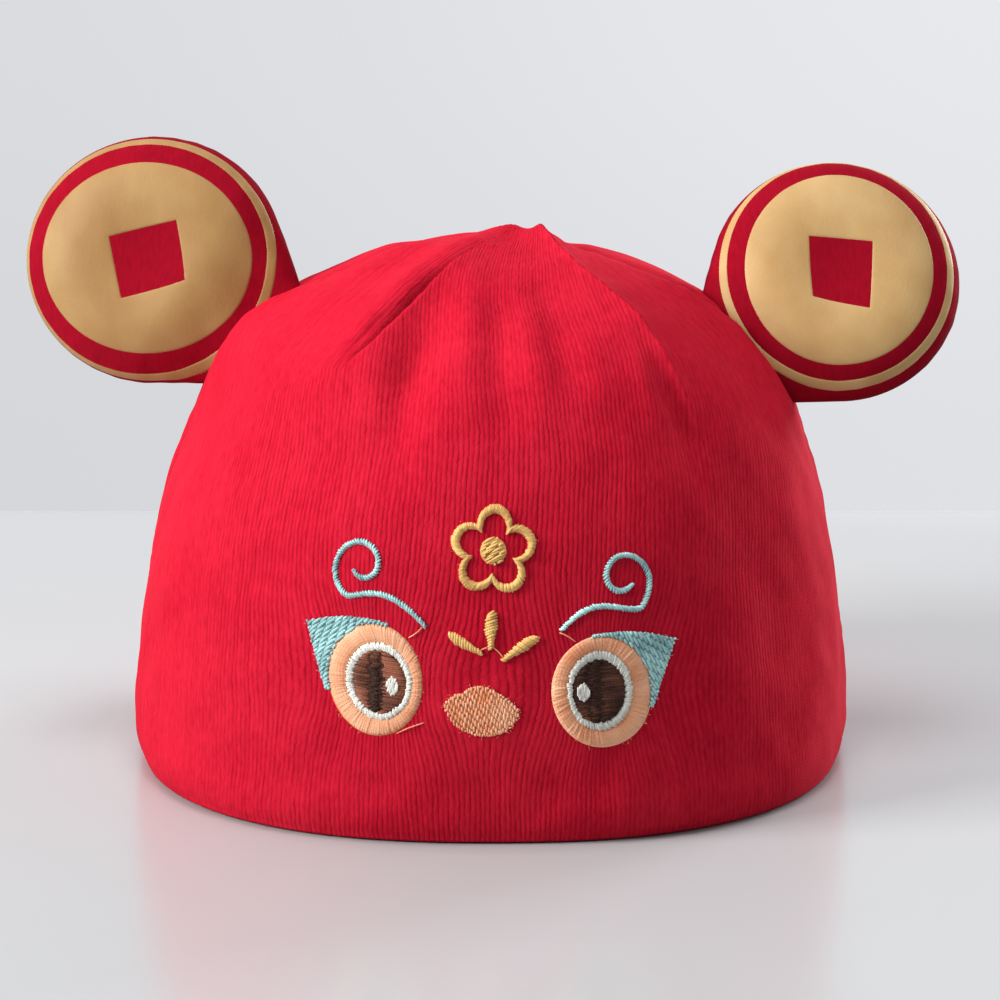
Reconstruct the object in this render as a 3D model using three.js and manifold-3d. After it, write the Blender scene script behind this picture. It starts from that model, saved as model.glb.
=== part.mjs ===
// Infant's jersey beanie with two stuffed round ears and an embroidered animal face.
// Millimetres, +Z up, the face looks along -Y, the origin is below the middle of the whole hat.
import * as THREE from 'three';
import { mergeVertices } from 'three/addons/utils/BufferGeometryUtils.js';
import Module from 'manifold-3d';

const wasm = await Module();
wasm.setup();

// Cloth, padding and clearances
const CROWN_WALL = 2.4;
const CLEARANCE = 0.3;
const PRINT_THICKNESS = 0.5;
const THREAD_THICKNESS = 0.8;
const MERGE_DISTANCE = 1e-4;

// Facets of the crown: a panel has columns from side seam to side seam and rows from hem to peak
const PANEL_COLUMNS = 32;
const PANEL_ROWS = 20;
const HEM_RISE = 0.021;

// Facets of each print and stitched area, along its edges and from edge to edge
const FACETS = {
  disc: { columns: 28, rows: 3 },
  ring: { columns: 40, rows: 1 },
  eyeRim: { columns: 28, rows: 1 },
  eyeWhite: { columns: 24, rows: 1 },
  iris: { columns: 20, rows: 2 },
  glint: { columns: 10, rows: 1 },
  lid: { columns: 12, rows: 3 },
  brow: { columns: 40, rows: 1 },
  leaf: { columns: 7, rows: 1 },
  nose: { columns: 28, rows: 2 },
  blossom: { columns: 40, rows: 1 },
  heart: { columns: 14, rows: 1 },
};

// Ears: round padded discs whose neck runs into the crown's side seam
const EAR_FRONT_PUFF = 7.6;
const EAR_BACK_PUFF = 7.0;
const EAR_RIM = 0.5;
const PUFF_EDGE_POWER = 2.4;
const PUFF_FALL_POWER = 0.62;
const EAR_SECTORS = 30;
const EAR_RINGS = 6;
const NECK_SPREAD = radians(54);
const NECK_REACH = 34;
const NECK_PINCH = { from: 8, to: 26, loss: 0.6 };

// The face: its middle on the crown in millimetres across and up the cloth, and how far it drops to the right
const FACE_RADIUS = 64;
const FACE = { across: -0.2, up: 29.1, drop: 0.054 };
const EYE = { across: 20.2, rim: [8.9, 10.0], white: [6.1, 6.9], iris: [4.9, 5.6], seam: 0.3 };
const GLINT = { across: -3.0, up: -0.9, size: [1.0, 1.7] };
const NOSE = { across: -1.6, up: -3.8, size: [6.7, 4.7], swell: 0.05 };
const BLOSSOM = { across: 0, up: 24.8, radius: 8.2, band: 1.7, heart: 2.4, petals: 5, waist: 0.66, power: 0.8 };
const EYELID = {
  tip: [29.6, -3.5], corner: [34.1, 8.8], crest: [26.0, 11.8], end: [17.3, 10.7], cornerShare: 0.45,
};
const BROW = { width: 1.15, curl: [25.0, 20.0], start: 5.5, end: 1.8, from: radians(-74), turn: radians(355) };
const BROW_SWEEP = { points: [[12.1, 10.3], [15.2, 17.2], [22.4, 13.9], [26.5, 14.7]], share: 0.42 };

const CLOTH = material('#d01732', 0.92);
const PRINT = material('#c8a369', 0.8);
const TEAL = material('#7dc3c8', 0.6);
const PEACH = material('#f0a573', 0.6);
const PALE = material('#c8cdc8', 0.6);
const BROWN = material('#5a3228', 0.6);
const GOLD = material('#d7b45a', 0.55);

// The crown's sections, from the hem to the peak
const PROFILE = table(['height', 'halfWidth', 'halfDepth', 'shiftX', 'shiftBack', 'squareness'], [
  [0.0, 64.3, 60.4, 0.0, 0.0, 2.34],
  [2.5, 65.5, 61.6, 0.0, 0.0, 2.34],
  [12.0, 66.2, 63.0, 0.0, 0.0, 2.26],
  [26.0, 65.3, 63.4, 0.0, 0.0, 2.16],
  [42.0, 62.6, 62.0, 0.2, 0.0, 2.08],
  [56.0, 58.7, 59.4, 0.9, 0.0, 2.04],
  [68.0, 53.6, 54.0, 1.7, -0.2, 2.0],
  [78.5, 45.4, 46.0, 1.1, -0.4, 2.0],
  [86.0, 36.0, 35.2, 0.6, -0.8, 2.0],
  [91.6, 24.4, 22.6, 0.0, -0.8, 2.0],
  [95.6, 12.2, 10.6, 1.0, 0.8, 2.0],
  [98.0, 0.0, 0.0, 3.2, 2.6, 2.0],
]);

// Darts from a tip on the crown's shoulder to the top seam; a negative depth is a raised crease
const DARTS = table(['tipX', 'tipFront', 'endX', 'endFront', 'depth', 'width'], [
  [-29.0, 34.5, -6.6, -1.0, -0.8, 4.0],
  [31.0, 33.0, 6.8, -1.0, -1.3, 5.0],
  [-33.0, -35.0, -6.6, 1.0, 1.2, 4.5],
  [33.0, -35.0, 6.6, 1.0, 1.2, 4.5],
]);

// A dart fades out round its tip, over these shares of its length, and ends just past the top seam
const DART_FADE = { from: -0.25, to: 0.3 };
const SEAM_OVERRUN = 0.5;

// Near the peak, folds die away inside these radii and the cloth's slope turns flat inside the last one
const FOLD_FADE = { from: 1, to: 14 };
const PEAK_FLAT = 8;

// Soft folds that run up the crown; a negative depth is a ridge
const FOLDS = table(['angle', 'fromRise', 'toRise', 'width', 'depth'], [
  [-29.0, 0.57, 0.92, 4.2, 2.0],
  [-5.0, 0.52, 0.92, 4.5, 0.9],
  [16.0, 0.54, 0.94, 4.5, 1.0],
  [-17.0, 0.55, 0.96, 4.5, -0.7],
  [6.0, 0.55, 0.96, 4.5, -0.6],
  [29.0, 0.56, 0.97, 5.0, -0.8],
  [52.0, 0.40, 0.70, 6.0, -1.2],
  [66.0, 0.50, 0.95, 9.0, 1.0],
  [-90.0, 0.76, 1.04, 16.0, -1.0],
  [72.0, 0.86, 1.06, 5.0, -0.9],
]);

// Each ear: its middle, the way it faces, the way to its neck, and the print's size, place and turn on it
const EARS = table(
  ['side', 'x', 'back', 'height', 'azimuth', 'elevation', 'neck', 'halfWide', 'halfHigh',
    'discWide', 'discHigh', 'ringWide', 'ringHigh', 'printX', 'printY', 'printTurn'], [
    ['left', -62.2, 7.3, 90.1, -14, 15, -32.5, 24.4, 23.1, 19.7, 17.5, 22.9, 21.7, 0.0, 0.0, 13.5],
    ['right', 63.7, 6.8, 86.5, 2, 31, -142.6, 23.1, 23.2, 17.0, 18.1, 21.5, 21.9, 0.2, 0.4, -10.0],
  ]);
const RING_WIDTH = 1.2;
const SQUARE_HALF = 6.0;

// Three leaves between the eyes; each end is a share of the width, and the power sets how full the flanks are
const LEAF = { endShare: 0.25, power: 0.7 };
const LEAVES = table(['name', 'startX', 'startY', 'endX', 'endY', 'width'], [
  ['left', -1.3, 6.4, -7.1, 9.1, 2.0],
  ['middle', 0.3, 7.8, 0.1, 13.8, 2.3],
  ['right', 2.6, 5.6, 8.2, 9.4, 2.0],
]);

// The middle of the whole hat, ears and stitching included, on the crown's own axes
const HAT_MIDDLE = { x: 0.4, back: -0.5 };

function radians(degrees) {
  return degrees * Math.PI / 180;
}

function material(color, roughness) {
  return new THREE.MeshStandardMaterial({ color, roughness, metalness: 0 });
}

function table(columns, lines) {
  return lines.map(line => Object.fromEntries(columns.map((name, k) => [name, line[k]])));
}

function smooth(from, to, x) {
  const t = THREE.MathUtils.clamp((x - from) / (to - from), 0, 1);
  return t * t * (3 - 2 * t);
}

function bell(distance, width) {
  return Math.exp(-((distance / width) ** 2));
}

function turnBetween(a, b) {
  return Math.atan2(Math.sin(a - b), Math.cos(a - b));
}

// Rises: how far along the profile each section lies, from 0 at the hem to 1 at the peak
const reach = [0];
for (let k = 1; k < PROFILE.length; k++) {
  const climb = PROFILE[k].height - PROFILE[k - 1].height;
  const widening = PROFILE[k].halfWidth - PROFILE[k - 1].halfWidth;
  reach.push(reach[k - 1] + Math.hypot(climb, widening));
}
const PROFILE_LENGTH = reach[reach.length - 1];
const RISES = reach.map(r => r / PROFILE_LENGTH);

// A smooth curve through one column of the profile
function section(column, rise) {
  const last = PROFILE.length - 1;
  const value = k => PROFILE[k][column];
  const slope = k => (value(k + 1) - value(k)) / (RISES[k + 1] - RISES[k]);
  const tangent = k => {
    if (k === 0) {
      return slope(0);
    }
    if (k === last) {
      return slope(last - 1);
    }
    const before = RISES[k] - RISES[k - 1];
    const after = RISES[k + 1] - RISES[k];
    return (slope(k - 1) * after + slope(k) * before) / (before + after);
  };
  let k = 0;
  while (k < last - 1 && RISES[k + 1] <= rise) {
    k++;
  }
  const span = RISES[k + 1] - RISES[k];
  const t = (rise - RISES[k]) / span;
  return (2 * t ** 3 - 3 * t ** 2 + 1) * value(k) + (t ** 3 - 2 * t ** 2 + t) * span * tangent(k)
    + (3 * t ** 2 - 2 * t ** 3) * value(k + 1) + (t ** 3 - t ** 2) * span * tangent(k + 1);
}

// How far the cloth lies below the plain dome at an angle from the front and a rise
function relief(angle, rise, radius) {
  const x = radius * Math.sin(angle);
  const front = radius * Math.cos(angle);
  const clearOfPeak = smooth(FOLD_FADE.from, FOLD_FADE.to, radius);
  let depth = 0;
  for (const dart of DARTS) {
    const onItsHalf = front * Math.sign(dart.tipFront) > -SEAM_OVERRUN;
    if (!onItsHalf) {
      continue;
    }
    const runX = dart.endX - dart.tipX;
    const runFront = dart.endFront - dart.tipFront;
    const along = ((x - dart.tipX) * runX + (front - dart.tipFront) * runFront) / (runX ** 2 + runFront ** 2);
    const held = THREE.MathUtils.clamp(along, 0, 1);
    const away = Math.hypot(x - dart.tipX - held * runX, front - dart.tipFront - held * runFront);
    depth += dart.depth * bell(away, dart.width) * smooth(DART_FADE.from, DART_FADE.to, along);
  }
  for (const fold of FOLDS) {
    const away = radius * turnBetween(angle, radians(fold.angle));
    const middle = (fold.fromRise + fold.toRise) / 2;
    const fade = smooth(fold.fromRise, middle, rise) * (1 - smooth(middle, fold.toRise, rise)) * clearOfPeak;
    depth += fold.depth * bell(away, fold.width) * fade;
  }
  return depth;
}

// A point of the crown; inset goes into the cloth, a negative inset stands off it
function crownPoint(angle, rise, inset = 0) {
  const halfWidth = section('halfWidth', rise);
  const halfDepth = section('halfDepth', rise);
  const power = section('squareness', rise);
  const low = Math.max(rise - 0.001, 0);
  const high = Math.min(rise + 0.001, 1);
  const climb = section('height', high) - section('height', low);
  const narrowing = section('halfWidth', high) - section('halfWidth', low);
  const length = Math.hypot(climb, narrowing);
  const normalUp = -narrowing / length * smooth(0, HEM_RISE, rise);
  const normalOut = climb / length * smooth(0, PEAK_FLAT, halfWidth);
  const wide = Math.abs(Math.sin(angle)) / Math.max(halfWidth, 1e-6);
  const deep = Math.abs(Math.cos(angle)) / Math.max(halfDepth, 1e-6);
  const plain = (wide ** power + deep ** power) ** (-1 / power);
  const sunk = relief(angle, rise, halfWidth) + inset;
  const radius = Math.max(plain - sunk * normalOut, 0);
  return new THREE.Vector3(
    section('shiftX', rise) + radius * Math.sin(angle),
    section('shiftBack', rise) - radius * Math.cos(angle),
    section('height', rise) - sunk * normalUp,
  );
}

// Collects corners and faces, and closes them into one geometry with merged corners
class Body {
  constructor() {
    this.corners = [];
    this.faces = [];
  }

  add(point) {
    this.corners.push(point.x, point.y, point.z);
    return this.corners.length / 3 - 1;
  }

  quad(a, b, c, d) {
    this.faces.push([a, b, c], [a, c, d]);
  }

  // Faces between two rows of corners of equal length
  strip(lower, upper) {
    for (let i = 0; i + 1 < lower.length; i++) {
      this.quad(lower[i], lower[i + 1], upper[i + 1], upper[i]);
    }
  }

  geometry() {
    const loose = new THREE.BufferGeometry();
    loose.setAttribute('position', new THREE.Float32BufferAttribute(this.corners, 3));
    loose.setIndex(this.faces.flat());
    const merged = mergeVertices(loose, MERGE_DISTANCE);
    const index = Array.from(merged.index.array);
    const kept = [];
    for (let i = 0; i < index.length; i += 3) {
      const [a, b, c] = index.slice(i, i + 3);
      if (a !== b && b !== c && c !== a) {
        kept.push(a, b, c);
      }
    }
    merged.setIndex(kept);
    merged.computeVertexNormals();
    return merged;
  }
}

function riseOfRow(row) {
  return row === 0 ? 0 : HEM_RISE + (1 - HEM_RISE) * (row - 1) / (PANEL_ROWS - 1);
}

// One half of the crown, as a shell with a flat hem below and an open seam edge round its arch
function crownPanel(middleAngle) {
  const body = new Body();
  const offset = new THREE.Vector3(0, -Math.cos(middleAngle) * CLEARANCE / 2, 0);
  const layer = inset => {
    const rows = [];
    for (let row = 0; row <= PANEL_ROWS; row++) {
      const corners = [];
      for (let column = 0; column <= PANEL_COLUMNS; column++) {
        const angle = middleAngle + Math.PI * (column / PANEL_COLUMNS - 0.5);
        corners.push(body.add(crownPoint(angle, riseOfRow(row), inset).add(offset)));
      }
      rows.push(corners);
    }
    return rows;
  };
  const outside = layer(0);
  const inside = layer(CROWN_WALL);
  for (let row = 0; row < PANEL_ROWS; row++) {
    body.strip(outside[row], outside[row + 1]);
    body.strip(inside[row + 1], inside[row]);
  }
  body.strip(inside[0], outside[0]);
  const edge = (rows, column) => rows.map(corners => corners[column]);
  body.strip(edge(outside, 0), edge(inside, 0));
  body.strip(edge(inside, PANEL_COLUMNS), edge(outside, PANEL_COLUMNS));
  return body.geometry();
}

// The room the crown takes up, with the clearance round it, for cutting the ears to their seat
function crownRoom() {
  const body = new Body();
  const rows = [];
  for (let row = 0; row <= PANEL_ROWS; row++) {
    const corners = [];
    for (let column = 0; column <= 2 * PANEL_COLUMNS; column++) {
      const angle = Math.PI * (column / PANEL_COLUMNS - 0.5);
      corners.push(body.add(crownPoint(angle, riseOfRow(row), -CLEARANCE)));
    }
    rows.push(corners);
  }
  for (let row = 0; row < PANEL_ROWS; row++) {
    body.strip(rows[row], rows[row + 1]);
  }
  const floor = rows[0].map(() => body.add(new THREE.Vector3(0, 0, 0)));
  body.strip(floor, rows[0]);
  return body.geometry();
}

function toManifold(geometry) {
  return new wasm.Manifold(new wasm.Mesh({
    numProp: 3,
    vertProperties: new Float32Array(geometry.getAttribute('position').array),
    triVerts: new Uint32Array(geometry.index.array),
  }));
}

function fromManifold(solid) {
  const mesh = solid.getMesh();
  const geometry = new THREE.BufferGeometry();
  geometry.setAttribute('position', new THREE.BufferAttribute(new Float32Array(mesh.vertProperties), 3));
  geometry.setIndex(Array.from(mesh.triVerts));
  geometry.computeVertexNormals();
  return geometry;
}

// An ear's middle and its axes: right and up in the plane of its rim seam, out towards the way it faces
function earFrame(ear) {
  const azimuth = radians(ear.azimuth);
  const elevation = radians(ear.elevation);
  const right = new THREE.Vector3(Math.cos(azimuth), Math.sin(azimuth), 0);
  const out = new THREE.Vector3(
    Math.sin(azimuth) * Math.cos(elevation),
    -Math.cos(azimuth) * Math.cos(elevation),
    Math.sin(elevation),
  );
  const up = new THREE.Vector3().crossVectors(out, right);
  return { middle: new THREE.Vector3(ear.x, ear.back, ear.height), right, up, out };
}

// How far the rim lies from the ear's middle: an oval whose tangents run on into the neck
function rimRadius(ear, angle) {
  const round = 1 / Math.hypot(Math.cos(angle) / ear.halfWide, Math.sin(angle) / ear.halfHigh);
  const fromNeck = Math.abs(turnBetween(angle, radians(ear.neck)));
  if (fromNeck >= NECK_SPREAD) {
    return round;
  }
  return Math.min(round / Math.cos(NECK_SPREAD - fromNeck), NECK_REACH / Math.cos(fromNeck));
}

// Height of the padding above the rim seam at a place on the ear
function puffHeight(ear, x, y, puff) {
  const radius = Math.hypot(x, y);
  const angle = Math.atan2(y, x);
  const share = Math.min(radius / rimRadius(ear, angle), 1);
  const towardsNeck = radius * Math.cos(turnBetween(angle, radians(ear.neck)));
  const pinch = 1 - NECK_PINCH.loss * smooth(NECK_PINCH.from, NECK_PINCH.to, towardsNeck);
  return EAR_RIM + puff * (1 - share ** PUFF_EDGE_POWER) ** PUFF_FALL_POWER * pinch;
}

function earPoint(ear, x, y, height) {
  const frame = earFrame(ear);
  return frame.middle.clone()
    .addScaledVector(frame.right, x)
    .addScaledVector(frame.up, y)
    .addScaledVector(frame.out, height);
}

// A padded half of an ear; facing is 1 for the half in front of the rim seam and -1 for the one behind it
function earHalf(ear, facing) {
  const body = new Body();
  const puff = facing > 0 ? EAR_FRONT_PUFF : EAR_BACK_PUFF;
  const base = facing * CLEARANCE / 2;
  const angles = [];
  for (let sector = 0; sector <= EAR_SECTORS; sector++) {
    angles.push(radians(ear.neck) + facing * 2 * Math.PI * sector / EAR_SECTORS);
  }
  const ring = (share, height) => angles.map(angle => {
    const radius = share * rimRadius(ear, angle);
    const x = radius * Math.cos(angle);
    const y = radius * Math.sin(angle);
    return body.add(earPoint(ear, x, y, base + facing * height(x, y)));
  });
  let outer = ring(1, () => 0);
  for (let k = EAR_RINGS; k >= 0; k--) {
    const inner = ring(Math.sin(Math.PI / 2 * k / EAR_RINGS), (x, y) => puffHeight(ear, x, y, puff));
    body.strip(outer, inner);
    outer = inner;
  }
  body.strip(ring(0, () => 0), ring(1, () => 0));
  return body.geometry();
}

// A place on an ear's front with the way the cloth faces there, lifted off the cloth
function onEar(ear, x, y, lift) {
  const step = 0.2;
  const place = (px, py) => earPoint(ear, px, py, CLEARANCE / 2 + puffHeight(ear, px, py, EAR_FRONT_PUFF));
  const across = place(x + step, y).sub(place(x - step, y));
  const along = place(x, y + step).sub(place(x, y - step));
  return place(x, y).addScaledVector(across.cross(along).normalize(), lift);
}

// A place on the crown's face, in millimetres across and up the cloth, lifted off the cloth
function onFace(across, up, lift) {
  const angle = (FACE.across + across) / FACE_RADIUS;
  const rise = (FACE.up + up - across * FACE.drop) / PROFILE_LENGTH;
  return crownPoint(angle, rise, -lift);
}

// A thin plate on a curved base, ruled between two edge curves; place maps across, up and lift to a point
function plate(place, edgeA, edgeB, { columns, rows, closed, thickness }) {
  const body = new Body();
  const layer = lift => {
    const lines = [];
    for (let row = 0; row <= rows; row++) {
      const corners = [];
      for (let column = 0; column <= columns; column++) {
        const a = edgeA(column / columns);
        const b = edgeB(column / columns);
        const share = row / rows;
        corners.push(body.add(place(a[0] + (b[0] - a[0]) * share, a[1] + (b[1] - a[1]) * share, lift)));
      }
      lines.push(corners);
    }
    return lines;
  };
  const top = layer(CLEARANCE + thickness);
  const bottom = layer(CLEARANCE);
  for (let row = 0; row < rows; row++) {
    body.strip(top[row], top[row + 1]);
    body.strip(bottom[row + 1], bottom[row]);
  }
  body.strip(bottom[0], top[0]);
  body.strip(top[rows], bottom[rows]);
  if (!closed) {
    const side = (lines, column) => lines.map(corners => corners[column]);
    body.strip(side(top, 0), side(bottom, 0));
    body.strip(side(bottom, columns), side(top, columns));
  }
  return body.geometry();
}

function oval(middle, size, turn = 0) {
  return t => {
    const angle = 2 * Math.PI * t + turn;
    return [middle[0] + size[0] * Math.cos(angle), middle[1] + size[1] * Math.sin(angle)];
  };
}

// A face turned inside out by a mirrored or clockwise edge is put right
function outward(geometry) {
  const position = geometry.getAttribute('position');
  const index = geometry.index.array;
  const corner = k => new THREE.Vector3().fromBufferAttribute(position, index[k]);
  let volume = 0;
  for (let i = 0; i < index.length; i += 3) {
    volume += corner(i).dot(corner(i + 1).cross(corner(i + 2)));
  }
  if (volume < 0) {
    const flipped = [];
    for (let i = 0; i < index.length; i += 3) {
      flipped.push(index[i], index[i + 2], index[i + 1]);
    }
    geometry.setIndex(flipped);
    geometry.computeVertexNormals();
  }
  return geometry;
}

// A band of constant width along a centre line
function bandEdges(line, width) {
  const edge = side => t => {
    const step = 0.002;
    const before = line(Math.max(t - step, 0));
    const after = line(Math.min(t + step, 1));
    const run = Math.hypot(after[0] - before[0], after[1] - before[1]);
    const here = line(t);
    const offset = side * width / 2 / run;
    return [here[0] - offset * (after[1] - before[1]), here[1] + offset * (after[0] - before[0])];
  };
  return [edge(1), edge(-1)];
}

const beanie = new THREE.Group();
beanie.name = 'beanie';

function addPiece(name, geometry, finish) {
  const piece = new THREE.Mesh(outward(geometry), finish);
  piece.name = name;
  beanie.add(piece);
}

function addCrown() {
  addPiece('crown_front', crownPanel(0), CLOTH);
  addPiece('crown_back', crownPanel(Math.PI), CLOTH);
}

function addEar(ear, room) {
  const seat = geometry => fromManifold(toManifold(outward(geometry)).subtract(room));
  addPiece(`ear_${ear.side}_front`, seat(earHalf(ear, 1)), CLOTH);
  addPiece(`ear_${ear.side}_back`, seat(earHalf(ear, -1)), CLOTH);

  const place = (x, y, lift) => onEar(ear, x, y, lift);
  const middle = [ear.printX, ear.printY];
  const turn = radians(ear.printTurn);
  const corner = k => {
    const angle = turn + Math.PI / 4 + k * Math.PI / 2;
    const reachOut = SQUARE_HALF * Math.SQRT2;
    return [middle[0] + reachOut * Math.cos(angle), middle[1] + reachOut * Math.sin(angle)];
  };
  const square = t => {
    const side = Math.min(Math.floor(t * 4), 3);
    const share = t * 4 - side;
    const a = corner(side);
    const b = corner(side + 1);
    return [a[0] + (b[0] - a[0]) * share, a[1] + (b[1] - a[1]) * share];
  };
  const disc = oval(middle, [ear.discWide, ear.discHigh], turn + Math.PI / 4);
  const discPlate = plate(place, disc, square, { ...FACETS.disc, closed: true, thickness: PRINT_THICKNESS });
  addPiece(`coin_${ear.side}_disc`, discPlate, PRINT);

  const ringOuter = oval([0, 0], [ear.ringWide, ear.ringHigh]);
  const ringInner = oval([0, 0], [ear.ringWide - RING_WIDTH, ear.ringHigh - RING_WIDTH]);
  const ringPlate = plate(place, ringOuter, ringInner,
    { ...FACETS.ring, closed: true, thickness: PRINT_THICKNESS });
  addPiece(`coin_${ear.side}_ring`, seat(ringPlate), PRINT);
}

function addStitching(name, edgeA, edgeB, finish, { columns, rows, closed = false, base = 0 }) {
  const place = (across, up, lift) => onFace(across, up, lift + base);
  addPiece(name, plate(place, edgeA, edgeB, { columns, rows, closed, thickness: THREAD_THICKNESS }), finish);
}

function addEye(side, mirror) {
  const middle = [mirror * EYE.across, 0];
  const ringOf = (size, shrink = 0) => oval(middle, [size[0] - shrink, size[1] - shrink]);
  addStitching(`eye_${side}_rim`, ringOf(EYE.rim), ringOf(EYE.white, -EYE.seam), PEACH,
    { ...FACETS.eyeRim, closed: true });
  addStitching(`eye_${side}_white`, ringOf(EYE.white), ringOf(EYE.iris, -EYE.seam), PALE,
    { ...FACETS.eyeWhite, closed: true });
  addStitching(`eye_${side}_iris`, ringOf(EYE.iris), () => middle, BROWN,
    { ...FACETS.iris, closed: true });
  const glint = [middle[0] + mirror * GLINT.across, GLINT.up];
  addStitching(`eye_${side}_glint`, oval(glint, GLINT.size), () => glint, PALE,
    { ...FACETS.glint, closed: true, base: THREAD_THICKNESS + CLEARANCE });
}

// The lid starts at its tip beside the rim, runs out to the corner and back over the top of the eye
function addEyelid(side, mirror) {
  const { tip, corner, crest, end, cornerShare } = EYELID;
  const outerEdge = t => {
    if (t < cornerShare) {
      const share = t / cornerShare;
      return [mirror * (tip[0] + (corner[0] - tip[0]) * share), tip[1] + (corner[1] - tip[1]) * share];
    }
    const share = (t - cornerShare) / (1 - cornerShare);
    const curve = new THREE.QuadraticBezierCurve(
      new THREE.Vector2(...corner), new THREE.Vector2(...crest), new THREE.Vector2(...end));
    const point = curve.getPoint(share);
    return [mirror * point.x, point.y];
  };
  const from = Math.atan2(tip[1] / EYE.rim[1], (tip[0] - EYE.across) / EYE.rim[0]);
  const to = Math.atan2(end[1] / EYE.rim[1], (end[0] - EYE.across) / EYE.rim[0]);
  const innerEdge = t => {
    const angle = from + (to - from) * t;
    const wide = EYE.rim[0] + EYE.seam;
    const high = EYE.rim[1] + EYE.seam;
    return [mirror * (EYE.across + wide * Math.cos(angle)), high * Math.sin(angle)];
  };
  addStitching(`eyelid_${side}`, outerEdge, innerEdge, TEAL, FACETS.lid);
}

// The brow sweeps up from beside the nose bridge and closes in a curl
function browLine(mirror) {
  const sweep = new THREE.CubicBezierCurve(...BROW_SWEEP.points.map(([x, y]) => new THREE.Vector2(x, y)));
  return t => {
    if (t < BROW_SWEEP.share) {
      const point = sweep.getPoint(t / BROW_SWEEP.share);
      return [mirror * point.x, point.y];
    }
    const share = (t - BROW_SWEEP.share) / (1 - BROW_SWEEP.share);
    const angle = BROW.from + BROW.turn * share;
    const radius = BROW.start + (BROW.end - BROW.start) * share;
    return [mirror * (BROW.curl[0] + radius * Math.cos(angle)), BROW.curl[1] + radius * Math.sin(angle)];
  };
}

function addBrow(side, mirror) {
  const [edgeA, edgeB] = bandEdges(browLine(mirror), BROW.width);
  addStitching(`brow_${side}`, edgeA, edgeB, TEAL, FACETS.brow);
}

function addLeaf(leaf) {
  const runX = leaf.endX - leaf.startX;
  const runY = leaf.endY - leaf.startY;
  const length = Math.hypot(runX, runY);
  const edge = flank => t => {
    const fullness = LEAF.endShare + (1 - LEAF.endShare) * Math.sin(Math.PI * t) ** LEAF.power;
    const swell = flank * leaf.width / 2 * fullness;
    return [leaf.startX + runX * t - swell * runY / length, leaf.startY + runY * t + swell * runX / length];
  };
  addStitching(`leaf_${leaf.name}`, edge(1), edge(-1), GOLD, FACETS.leaf);
}

function addNose() {
  const middle = [NOSE.across, NOSE.up];
  const outline = t => {
    const angle = 2 * Math.PI * t;
    const swell = 1 + NOSE.swell * (Math.cos(2 * angle) - Math.sin(3 * angle));
    const [wide, high] = NOSE.size;
    return [middle[0] + swell * wide * Math.cos(angle), middle[1] + swell * high * Math.sin(angle)];
  };
  addStitching('nose', outline, () => middle, PEACH, { ...FACETS.nose, closed: true });
}

function addBlossom() {
  const middle = [BLOSSOM.across, BLOSSOM.up];
  const lobes = narrower => t => {
    const angle = 2 * Math.PI * t;
    const petal = Math.abs(Math.sin(BLOSSOM.petals / 2 * angle)) ** BLOSSOM.power;
    const radius = BLOSSOM.radius * (BLOSSOM.waist + (1 - BLOSSOM.waist) * petal) - narrower;
    const turned = angle + Math.PI / 2 - Math.PI / BLOSSOM.petals;
    return [middle[0] + radius * Math.cos(turned), middle[1] + radius * Math.sin(turned)];
  };
  addStitching('blossom_ring', lobes(0), lobes(BLOSSOM.band), GOLD, { ...FACETS.blossom, closed: true });
  addStitching('blossom_heart', oval(middle, [BLOSSOM.heart, BLOSSOM.heart]), () => middle, GOLD,
    { ...FACETS.heart, closed: true });
}

function addFace() {
  for (const [side, mirror] of [['left', -1], ['right', 1]]) {
    addEye(side, mirror);
    addEyelid(side, mirror);
    addBrow(side, mirror);
  }
  for (const leaf of LEAVES) {
    addLeaf(leaf);
  }
  addNose();
  addBlossom();
}

addCrown();
const room = toManifold(outward(crownRoom()));
for (const ear of EARS) {
  addEar(ear, room);
}
addFace();
beanie.position.set(-HAT_MIDDLE.x, -HAT_MIDDLE.back, 0);

export default beanie;
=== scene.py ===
"""Infant's jersey beanie with two stuffed ears and an embroidered face, dressed for a studio picture.

Sizes are in millimetres on the crown's own axes: x to the right of the face as it is looked at, y to the back
and z up from the hem. Meshes are made in metres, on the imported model's axes.
"""
import logging
import math
from dataclasses import dataclass
from enum import Enum
from functools import cached_property
from typing import Any, Callable, Union

import bpy
import numpy as np
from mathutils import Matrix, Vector


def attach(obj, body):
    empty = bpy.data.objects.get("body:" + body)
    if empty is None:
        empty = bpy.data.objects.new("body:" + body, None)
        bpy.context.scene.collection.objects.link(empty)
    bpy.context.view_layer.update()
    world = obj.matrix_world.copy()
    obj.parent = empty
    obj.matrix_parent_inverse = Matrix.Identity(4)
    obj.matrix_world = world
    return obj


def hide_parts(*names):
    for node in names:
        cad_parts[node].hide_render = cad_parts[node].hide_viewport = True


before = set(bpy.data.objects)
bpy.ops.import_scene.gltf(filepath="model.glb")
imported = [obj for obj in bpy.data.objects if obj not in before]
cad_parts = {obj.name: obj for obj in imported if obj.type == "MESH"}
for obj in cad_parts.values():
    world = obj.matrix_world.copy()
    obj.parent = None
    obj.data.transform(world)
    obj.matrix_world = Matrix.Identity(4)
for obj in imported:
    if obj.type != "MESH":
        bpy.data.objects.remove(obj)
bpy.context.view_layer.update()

Array = np.ndarray
Amount = Union[Array, float]
Scalar = Union["Value", float]
Material = bpy.types.Material
Socket = bpy.types.NodeSocket
Place = Callable[[Array, Array, Array], Array]
Pair = tuple[float, float]
Triple = tuple[float, float, float]

log = logging.getLogger("beanie")

BODY = "root"
MM = 0.001
HAT_MIDDLE = np.array([0.4, -0.5, 0.0])
TURN = 2 * math.pi


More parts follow.
